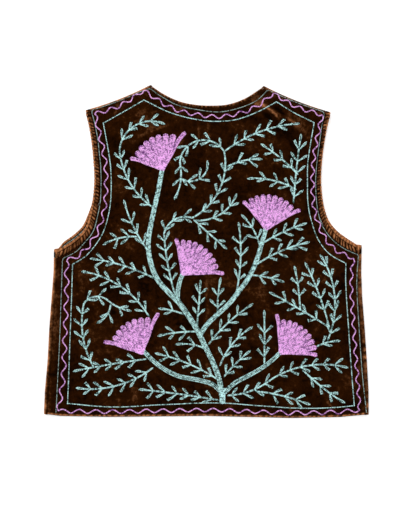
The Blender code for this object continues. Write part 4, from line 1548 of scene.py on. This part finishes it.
def strip_sections(half, edge, inner, pull):
    """Sections of a plain strip on a front, its outer edge pulled inwards."""
    inward = unit(inner - edge)
    sections = []
    for ring in FLAT_BAND:
        places = edge + (inner - edge) * ring.across + inward * (pull * (1 - ring.across))[:, None]
        sections.append(lay_front(half, places, np.full(len(places), ring.depth * CLOTH)))
    return sections


def plain_band(half, material, sizes):
    """The band on an armhole edge of a front, round both folds and slightly gathered."""
    side, band, shoulder = front_armhole(half, BAND_SECTIONS_OF_FRONT)
    edge, inner = (
        np.concatenate((start[::-1], middle, end))
        for start, middle, end in zip(side, band, shoulder)
    )
    shade = np.full(len(edge), 0.34)
    shade[len(side):-len(shoulder)] = 0.84
    wave = gathering(half, np.linspace(0, sizes.gathers * 1.3, len(edge)), sizes.gathers)
    # Painted light: a lighter outer rim from wear and a painted sheen, painted shade on the part
    # under the back's band, and painted highlights on the gathers.
    naps_and_painted_light = [
        0.88 - shade * ease((ring.across - 0.17) / 0.20) + 0.24 * wave for ring in FLAT_BAND
    ]
    sections = strip_sections(half, edge, inner, 0.0003 * wave - PILE[half.name])
    return velvet_strip(f"armhole_band_front_{half.name}_cloth", sections, naps_and_painted_light, material)


class WAISTCOAT_OT_neck_bindings(Operator):
    """Turn a narrow roll along the neck of the back and of each front."""

    bl_idname = "waistcoat.neck_bindings"
    bl_label = "Neck bindings"

    def execute(self, context):
        # A lighter copy of the velvet for the bindings: crushed pile with a painted sheen.
        material = velvet_finish("velvet_of_bindings", lift=0.04, contrast=0.7)
        piece = neck_roll(material, context.scene.waistcoat_bands.binding_crown)
        sew_on(piece)
        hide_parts("neck_binding_back")
        for half in (LEFT, RIGHT):
            piece = neck_strip(half, material)
            sew_on(piece)
            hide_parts(f"neck_binding_front_{half.name}")
        return {"FINISHED"}


def neck_roll(material, crown):
    """The binding of the back's neck: a topstitched roll, a little uneven."""
    edge, inner = back_neck(BINDING_SECTIONS)
    inner = inner + unit(inner - edge) * (SEAM_GAP + SEAM_OVERLAP)
    count = np.arange(len(edge))
    uneven = np.sin(count * 0.61) + np.sin(count * 0.233)
    ticks = np.sin(0.74 * count + 1.2 * np.sin(0.11 * count))
    ticks = ticks * (0.6 + 0.4 * np.sin(0.19 * count))
    sections, naps_and_painted_light = [], []
    for ring in ROLLED_NECK:
        places = edge + (inner - edge) * ring.across
        rise = ring.crown * crown * (1 + 0.10 * uneven)
        z = back_height(places[:, 0], places[:, 1]) - ring.depth * CLOTH + rise
        sections.append(in_space(places[:, 0], places[:, 1], z))
        # The roll is lighter at its outer edge, from wear and a painted sheen, and darker inwards,
        # with lighter ticks along its top.
        lit = 0.80 - 0.40 * ease(ring.across / 0.6) + 0.06 * uneven
        naps_and_painted_light.append(lit + 0.36 * ticks * np.exp(-((ring.across - 0.45) / 0.22) ** 2))
    return velvet_strip("neck_binding_back_cloth", sections, naps_and_painted_light, material)


def neck_strip(half, material):
    """The binding of a front's neck, plain and turned up round the shoulder."""
    neck, end = front_neck(half, FRONT_BINDING_SECTIONS)
    edge, inner = (np.concatenate(lines) for lines in zip(neck, end))
    sections = strip_sections(half, edge, inner, np.zeros(len(edge)))
    naps_and_painted_light = [np.full(len(edge), 0.5)] * len(FLAT_BAND)
    return velvet_strip(f"neck_binding_front_{half.name}_cloth", sections, naps_and_painted_light, material)


# Embroidery and topstitching

def kept_inside(places, margin):
    """The places moved in until they lie clear of the armhole bands, the neck and the folds."""
    x, height = places[:, 0].copy(), np.maximum(places[:, 1], BACK_HEM_LIFT + margin)
    for half in (LEFT, RIGHT):
        band = clear_of(*back_armhole(half, ARMHOLE_ROWS_OF_MESH))
        limit = np.interp(height, band[:, 1], band[:, 0]) - margin
        limit = np.where(height < band[0, 1], side_reach(half, height) - FROM_SIDE, limit)
        reach = np.minimum(np.abs(x), limit)
        spots = np.stack((reach, height), 1)
        over = past_shoulder(half, spots) - FOLD_RADIUS + FROM_SHOULDER
        spots = spots - np.maximum(over, 0)[:, None] * shoulder_axes(half)[1]
        mine = np.sign(x) == half.sign
        x = np.where(mine, spots[:, 0] * half.sign, x)
        height = np.where(mine, spots[:, 1], height)
    neck = clear_of(*back_neck(NECK_COLUMNS))
    top = np.interp(x, neck[:, 0], neck[:, 1]) - margin
    within = (x > neck[0, 0]) & (x < neck[-1, 0])
    return np.stack((x, np.where(within, np.minimum(height, top), height)), 1)


def border_line(number, which, margin):
    """Smooth line of a numbered run: 0 for the outer, 1 for the inner, 0.5 for the waved one."""
    before, run = BORDER[number - 1], BORDER[number]
    knots = np.array((before.knots[-1], *run.knots))
    places = knots[:, :2] * (1 - which) + knots[:, 2:] * which
    if which == 0.5:
        places[0], places[-1] = before.corner, run.corner
    return kept_inside(spline(places, BORDER_STEPS), margin)


def beside(line, offset):
    """The line moved to its left by an offset that may vary along it."""
    ahead = unit(np.gradient(line, axis=0))
    return line + np.stack((-ahead[:, 1], ahead[:, 0]), 1) * np.reshape(offset, (-1, 1))


def outer_line():
    """The outer line, from the hem's left corner round the neck to its right one."""
    numbers = list(range(len(BORDER)))
    hem = [run.name for run in BORDER].index("hem")
    around = numbers[hem + 1:] + numbers[:hem]
    line = np.concatenate([border_line(number, 0, LINE_MARGIN) for number in around])
    apart = np.concatenate(([True], np.diff(walked(line)) > 0))
    line = evenly(line[apart], OUTER_LINE_STEPS)
    reach = int(CORNER_ROUNDING / (walked(line)[-1] / OUTER_LINE_STEPS))
    padded = np.pad(line, ((reach, reach), (0, 0)), mode="edge")
    window = np.ones(2 * reach + 1) / (2 * reach + 1)
    return np.stack([np.convolve(padded[:, k], window, "valid") for k in (0, 1)], 1)


class WAISTCOAT_OT_border(Operator):
    """Chain-stitch the border: an outer line, a waved line and an inner line."""

    bl_idname = "waistcoat.border"
    bl_label = "Border"

    def execute(self, context):
        sewing = context.scene.waistcoat_stitches
        chance = np.random.default_rng(3)
        waved, inner = [], []
        for number, run in enumerate(BORDER):
            inner.append(Course(border_line(number, 1, INNER_MARGIN), INNER_ROW, sewing.pitch))
            middle = evenly(border_line(number, 0.5, INNER_MARGIN), WAVE_STEPS)
            share = np.linspace(0, 1, len(middle))
            start = chance.uniform(0.9, 1.1, run.waves + 1)
            sway = np.interp(share * run.waves, np.arange(run.waves + 1), start)
            swing = sewing.wave * run.swing * sway * np.sin(2 * pi * run.waves * share)
            line = kept_inside(beside(middle, swing), LINE_MARGIN)
            waved.append(Course(line, WAVED_ROW, sewing.pitch * 0.7))
        outer = Course(outer_line(), OUTER_ROW, sewing.pitch * 0.9)
        green = yarn_finish("green_yarn", tuple(sewing.green), GREEN_HOLLOW_SHADE)
        dull = yarn_finish("dull_green_yarn", tuple(sewing.dull_green), DULL_GREEN_HOLLOW_SHADE)
        lilac = yarn_finish("lilac_yarn", tuple(sewing.lilac), LILAC_HOLLOW_SHADE)
        made = (
            chain_stitched("border_outer_line", [outer], dull),
            chain_stitched("border_waved_line", waved, lilac),
            chain_stitched("border_inner_line", inner, green),
        )
        for piece, slot in zip(made, ("green_yarn", "lilac_yarn", "green_yarn")):
            sew_on(piece)
        return {"FINISHED"}


class WAISTCOAT_OT_stems(Operator):
    """Chain-stitch the thick stems, several rows side by side."""

    bl_idname = "waistcoat.stems"
    bl_label = "Stems"

    def execute(self, context):
        pitch = context.scene.waistcoat_stitches.pitch
        courses = []
        for stem in STEMS:
            if len(stem.knots) > 2:
                line = spline(stem.knots, STEM_STEPS)
            else:
                line = evenly(np.array(stem.knots), SHORT_STEM_STEPS)
            gap = np.linspace(stem.first_gap, stem.last_gap, len(line))
            for row in range(stem.rows):
                offset = (row - (stem.rows - 1) / 2) * gap
                courses.append(Course(beside(line, offset), STEM_ROW, pitch))
        piece = chain_stitched("stems", courses, bpy.data.materials["green_yarn"])
        sew_on(piece)
        return {"FINISHED"}


def rib_line(sprig):
    """The rib of a sprig as an arc, and its heading in radians at each point."""
    start, end = np.array((sprig.x0, sprig.height0)), np.array((sprig.x1, sprig.height1))
    way, half_turn = end - start, radians(sprig.turn) / 2
    length = np.linalg.norm(way) / np.sinc(half_turn / pi)
    heading = np.arctan2(way[1], way[0]) + half_turn * np.linspace(-1, 1, RIB_STEPS + 1)
    return stepped(start, (heading[1:] + heading[:-1]) / 2, length), heading


def leaf_line(foot, heading, length, curl):
    """A leaf as one row of stitches out and back round its slightly fuller tip."""
    share = np.linspace(0, 1, LEAF_STEPS + 1)
    way = heading + curl * share
    spine = stepped(foot, way[1:], length)
    swell = 0.20 + 1.05 * ease(share * 1.1)
    half_width = LEAF_GAP * swell * (1 - 0.5 * ease((share - 0.84) / 0.16))
    out, back = beside(spine, half_width), beside(spine, -half_width)[::-1]
    tip = spine[-1] + np.array((cos(way[-1]), sin(way[-1]))) * LEAF_GAP
    return np.concatenate((out, [tip], back))


def sprig_courses(sprig, chance, sewing):
    """Rib, leaves in pairs and end leaf of one sprig."""
    line, heading = rib_line(sprig)
    way = walked(line)
    length = way[-1]
    tip = END_LEAF if sprig.ends else 0.0
    courses = [Course(at(line, np.linspace(0, length - tip, RIB_STEPS)), RIB_ROW, sewing.pitch)]
    free = FREE_BEFORE_END_LEAF if sprig.ends else FREE_AT_TIP
    step = (length - sprig.first - free) / max(sprig.pairs - 1, 1)
    for stop in sprig.first + min(step, LEAF_STEP) * np.arange(sprig.pairs):
        foot = at(line, [stop])[0]
        along = np.interp(stop, way, heading)
        for side in (-1, 1):
            angle = along + side * (sewing.leaf_angle + chance.normal(0, LEAF_TURN))
            reach = sewing.leaf * chance.uniform(*LEAF_LENGTHS)
            start = foot + np.array((cos(angle), sin(angle))) * LEAF_START
            leaf = leaf_line(start, angle, reach - LEAF_START, -side * LEAF_CURL)
            courses.append(Course(leaf, LEAF_ROW, sewing.pitch))
    if sprig.ends:
        start = at(line, [length - tip])[0]
        angle = np.interp(length - tip, way, heading)
        leaf = leaf_line(start, angle, tip, heading[-1] - angle)
        courses.append(Course(leaf, LEAF_ROW, sewing.pitch))
    return courses


class WAISTCOAT_OT_sprigs(Operator):
    """Chain-stitch the leafy sprigs."""

    bl_idname = "waistcoat.sprigs"
    bl_label = "Sprigs"

    def execute(self, context):
        sewing = context.scene.waistcoat_stitches
        chance = np.random.default_rng(5)
        groups = {"sprigs_left": [], "sprigs_right": []}
        for sprig in SPRIGS:
            group = "sprigs_left" if sprig.x0 < 0.010 else "sprigs_right"
            groups[group] += sprig_courses(sprig, chance, sewing)
        for name, courses in groups.items():
            piece = chain_stitched(name, courses, bpy.data.materials["green_yarn"])
            sew_on(piece)
        return {"FINISHED"}


def finger_courses(heart, angle, bend, tip, half_width, pitch):
    """Rows round a petal or horn, one inside the other; half_width gives its width on the way."""
    reach = np.linspace(0, tip, FINGER_STEPS + 1)
    way = angle + bend * ease((reach / tip - 0.55) / 0.45)
    spine = stepped(heart, way[1:], tip)
    room = half_width(reach)
    courses = []
    inset = ROW_GAP / 2
    while room[-1] > inset - ROW_GAP * 0.4:
        gap = np.maximum(room - inset, 0.0003)
        inside = (room > inset - ROW_GAP * 0.45) & (reach < tip - room[-1])
        if np.count_nonzero(inside) < 2:
            break
        if gap[-1] < ROW_GAP * 0.4:
            courses.append(Course(spine[inside], ROW_GAP * ROW_FULLNESS, pitch))
            break
        turn = np.linspace(pi / 2, -pi / 2, 9)[1:-1] + way[-1]
        cap = spine[inside][-1] + gap[inside][-1] * headed(turn)
        sides = [beside(spine[inside], side * gap[inside]) for side in (1, -1)]
        around = np.concatenate((sides[0], cap, sides[1][::-1]))
        courses.append(Course(around, ROW_GAP * ROW_FULLNESS, pitch))
        inset += ROW_GAP
    return courses


def fan_courses(fan, pitch):
    """Rows of a fan flower: arcs at its foot, then every petal and the two horns."""
    foot = np.array(fan.foot)
    tips = [np.array(tip) for tip in (fan.first_tip, fan.last_tip)]
    facing = unit(unit(tips[0] - foot) + unit(tips[1] - foot))
    heart = foot - facing * FAN_FOOT
    first, last = (np.arctan2(*(tip - heart)[::-1]) for tip in tips)
    step = (first - last) / (fan.petals + 1)
    courses = []
    for reach in FAN_ARCS:
        arc = heart + reach * headed(np.linspace(first, last, 12))
        courses.append(Course(arc, ROW_GAP * ARC_FULLNESS, pitch * 0.95))

    def petal_width(reach):
        """Half a petal's width at each reach from the heart."""
        cut_away = sum(slit.width * ease((reach - slit.start) / slit.run) for slit in SLITS)
        return step / 2 * reach - cut_away

    def horn_width(reach):
        """The same for a horn, which grows no wider."""
        return np.minimum(petal_width(reach), HORN_WIDTH / 2)

    for k in range(fan.petals + 2):
        angle = first - step * k
        if 0 < k <= fan.petals:
            share = (k - 1) / (fan.petals - 1)
            tip = FAN_FOOT + fan.first_edge * (1 - share) + fan.last_edge * share
            courses += finger_courses(heart, angle, 0, tip, petal_width, pitch)
        else:
            bend = HORN_BEND if k == 0 else -HORN_BEND
            tip = np.linalg.norm(tips[0 if k == 0 else 1] - heart)
            courses += finger_courses(heart, angle - bend * 0.12, bend, tip, horn_width, pitch)
    return courses


class WAISTCOAT_OT_flowers(Operator):
    """Fill the fan flowers with chain stitch."""

    bl_idname = "waistcoat.flowers"
    bl_label = "Flowers"

    def execute(self, context):
        pitch = context.scene.waistcoat_stitches.pitch
        for fan in FANS:
            courses = fan_courses(fan, pitch)
            piece = chain_stitched(f"flower_{fan.name}", courses, bpy.data.materials["lilac_yarn"])
            sew_on(piece)
        return {"FINISHED"}


class WAISTCOAT_OT_armhole_line(Operator):
    """Chain-stitch the short line on the left front's edge that shows inside the armhole."""

    bl_idname = "waistcoat.armhole_line"
    bl_label = "Line inside the armhole"

    def execute(self, context):
        edge, inner = front_armhole(LEFT, ARMHOLE_ROWS_OF_MESH)[1]
        width = np.linalg.norm(inner - edge, axis=1)[:, None]
        inside = ((edge + (inner - edge) / width * ARMHOLE_LINE_INSET) * (-1, 1))[3:24]
        spots, ways = paced(inside, ARMHOLE_LINE_PITCH)
        sizes = np.tile(ARMHOLE_LOOP, (len(spots), 1))
        dull = needed("border_outer_line").data.materials[0]
        piece = copied("armhole_line", chain_loop(), spots, ways, sizes, ARMHOLE_LINE_LIFT, dull,
                       on=front_top)
        sew_on(piece)
        return {"FINISHED"}


class WAISTCOAT_OT_topstitching(Operator):
    """Sew the dashes of topstitching beside the neck, the armholes and the hem."""

    bl_idname = "waistcoat.topstitching"
    bl_label = "Topstitching"

    def execute(self, context):
        thread = tuple(context.scene.waistcoat_stitches.thread)
        material = yarn_finish("topstitch_thread", thread, THREAD_HOLLOW_SHADE)
        neck = clear_of(*back_neck(NECK_COLUMNS))
        edge = back_neck(NECK_COLUMNS)[1]
        lines = [(neck + unit(neck - edge) * NECK_DASHES.from_seam, NECK_DASHES)]
        for half in (LEFT, RIGHT):
            outer, inner = back_armhole(half, ARMHOLE_ROWS_OF_MESH)
            line = clear_of(outer, inner) + unit(inner - outer) * ARMHOLE_DASHES.from_seam
            lines.append((line[1:-2] * (half.sign, 1), ARMHOLE_DASHES))
        reach = side_reach(RIGHT, 0) - SIDE_WRAP - HEM_DASHES_FROM_SIDE
        hem = np.stack((np.linspace(-reach, reach, 200), np.full(200, HEM_DASHES.from_seam)), 1)
        lines.append((hem, HEM_DASHES))
        places, headings, sizes = [], [], []
        for line, dashes in lines:
            spots, ways = paced(line, dashes.pitch)
            places.append(spots)
            headings.append(ways)
            sizes.append(np.tile((dashes.length, dashes.width, dashes.width), (len(spots), 1)))
        piece = copied("topstitching", dash(), np.concatenate(places), np.concatenate(headings),
                       np.concatenate(sizes), DASH_LIFT, material)
        sew_on(piece)
        return {"FINISHED"}


class WAISTCOAT_OT_cut(Operator):
    """A last step that does nothing."""

    bl_idname = "waistcoat.cut"
    bl_label = "State the cut"

    def execute(self, context):
        return {"FINISHED"}


class WAISTCOAT_OT_stage(Operator):
    """Set the pale floor, the soft lights and the camera straight above."""

    bl_idname = "waistcoat.stage"
    bl_label = "Stage"

    def execute(self, context):
        look = context.scene.waistcoat_stage
        alone()
        bpy.ops.mesh.primitive_plane_add(size=FLOOR_SIZE, location=(0, 0, -FLOOR_DROP))
        floor = context.object
        floor.name = "floor"
        bpy.ops.object.transform_apply(location=True, rotation=True, scale=True)
        finish = Finish("floor_paper", tuple(look.floor), 0.9, 0.0, (1, 1, 1))
        mottle = finish.noise(3.0, 2.0)
        pale = tuple(look.floor)
        paler = tuple(0.99 * channel for channel in pale)
        finish.colour_by(finish.ramp(mottle.clipped(), ((0.3, paler), (0.7, pale))))
        finish.feed(finish.shader.inputs["Emission Color"], (1, 1, 1, 1))
        finish.feed(finish.shader.inputs["Emission Strength"], look.floor_glow)
        floor.data.materials.append(finish.material)
        world = bpy.data.worlds.new("studio")
        world.use_nodes = True
        background = world.node_tree.nodes["Background"]
        background.inputs["Color"].default_value = (1, 1, 1, 1)
        background.inputs["Strength"].default_value = look.fill
        context.scene.world = world
        for lamp in LAMPS:
            light = bpy.data.lights.new(lamp.name, "AREA")
            light.size = lamp.size
            light.energy = look.key * lamp.share
            hung = bpy.data.objects.new(lamp.name, light)
            context.scene.collection.objects.link(hung)
            hung.location = lamp.place
            hung.rotation_euler = (-hung.location).to_track_quat("-Z", "Y").to_euler()
        camera = bpy.data.cameras.new("camera")
        camera.sensor_width = SENSOR
        camera.sensor_fit = "AUTO"
        camera.lens = SENSOR * look.camera_height / (METRES_PER_PIXEL * max(IMAGE))
        camera.dof.use_dof = False
        seat = bpy.data.objects.new("camera", camera)
        context.scene.collection.objects.link(seat)
        seat.location = (VIEW_CENTRE[0], VIEW_CENTRE[1] - MIDDLE, look.camera_height)
        context.scene.camera = seat
        context.scene.view_settings.view_transform = "Standard"
        return {"FINISHED"}


class WAISTCOAT_PT_panel(Panel):
    """Sizes, colours and steps of the waistcoat."""

    bl_idname = "WAISTCOAT_PT_panel"
    bl_label = "Waistcoat"
    bl_space_type = "VIEW_3D"
    bl_region_type = "UI"
    bl_category = "Waistcoat"

    def draw(self, context):
        for settings in SETTINGS:
            group = getattr(context.scene, settings)
            box = self.layout.box()
            for name in group.__annotations__:
                box.prop(group, name)
        for step in STEPS:
            self.layout.operator(step.bl_idname)


SETTINGS = {
    "waistcoat_velvet": VelvetSettings,
    "waistcoat_bands": BandSettings,
    "waistcoat_stitches": StitchSettings,
    "waistcoat_stage": StageSettings,
}
STEPS = (
    WAISTCOAT_OT_stage,
    WAISTCOAT_OT_back,
    WAISTCOAT_OT_fronts,
    WAISTCOAT_OT_armhole_bands,
    WAISTCOAT_OT_neck_bindings,
    WAISTCOAT_OT_border,
    WAISTCOAT_OT_stems,
    WAISTCOAT_OT_sprigs,
    WAISTCOAT_OT_flowers,
    WAISTCOAT_OT_armhole_line,
    WAISTCOAT_OT_topstitching,
    WAISTCOAT_OT_cut,
)


def register():
    """Make the settings, steps and panel known to Blender."""
    for kind in (*SETTINGS.values(), *STEPS, WAISTCOAT_PT_panel):
        bpy.utils.register_class(kind)
    for name, kind in SETTINGS.items():
        setattr(bpy.types.Scene, name, PointerProperty(type=kind))


def unregister():
    """Take them away again."""
    for name in SETTINGS:
        delattr(bpy.types.Scene, name)
    for kind in (WAISTCOAT_PT_panel, *reversed(STEPS), *reversed(SETTINGS.values())):
        bpy.utils.unregister_class(kind)


def main():
    """Make the whole waistcoat."""
    register()
    bpy.ops.waistcoat.stage()
    bpy.ops.waistcoat.back()
    bpy.ops.waistcoat.fronts()
    bpy.ops.waistcoat.armhole_bands()
    bpy.ops.waistcoat.neck_bindings()
    bpy.ops.waistcoat.border()
    bpy.ops.waistcoat.stems()
    bpy.ops.waistcoat.sprigs()
    bpy.ops.waistcoat.flowers()
    bpy.ops.waistcoat.armhole_line()
    bpy.ops.waistcoat.topstitching()
    bpy.ops.waistcoat.cut()
    alone()


if __name__ == "__main__":
    main()
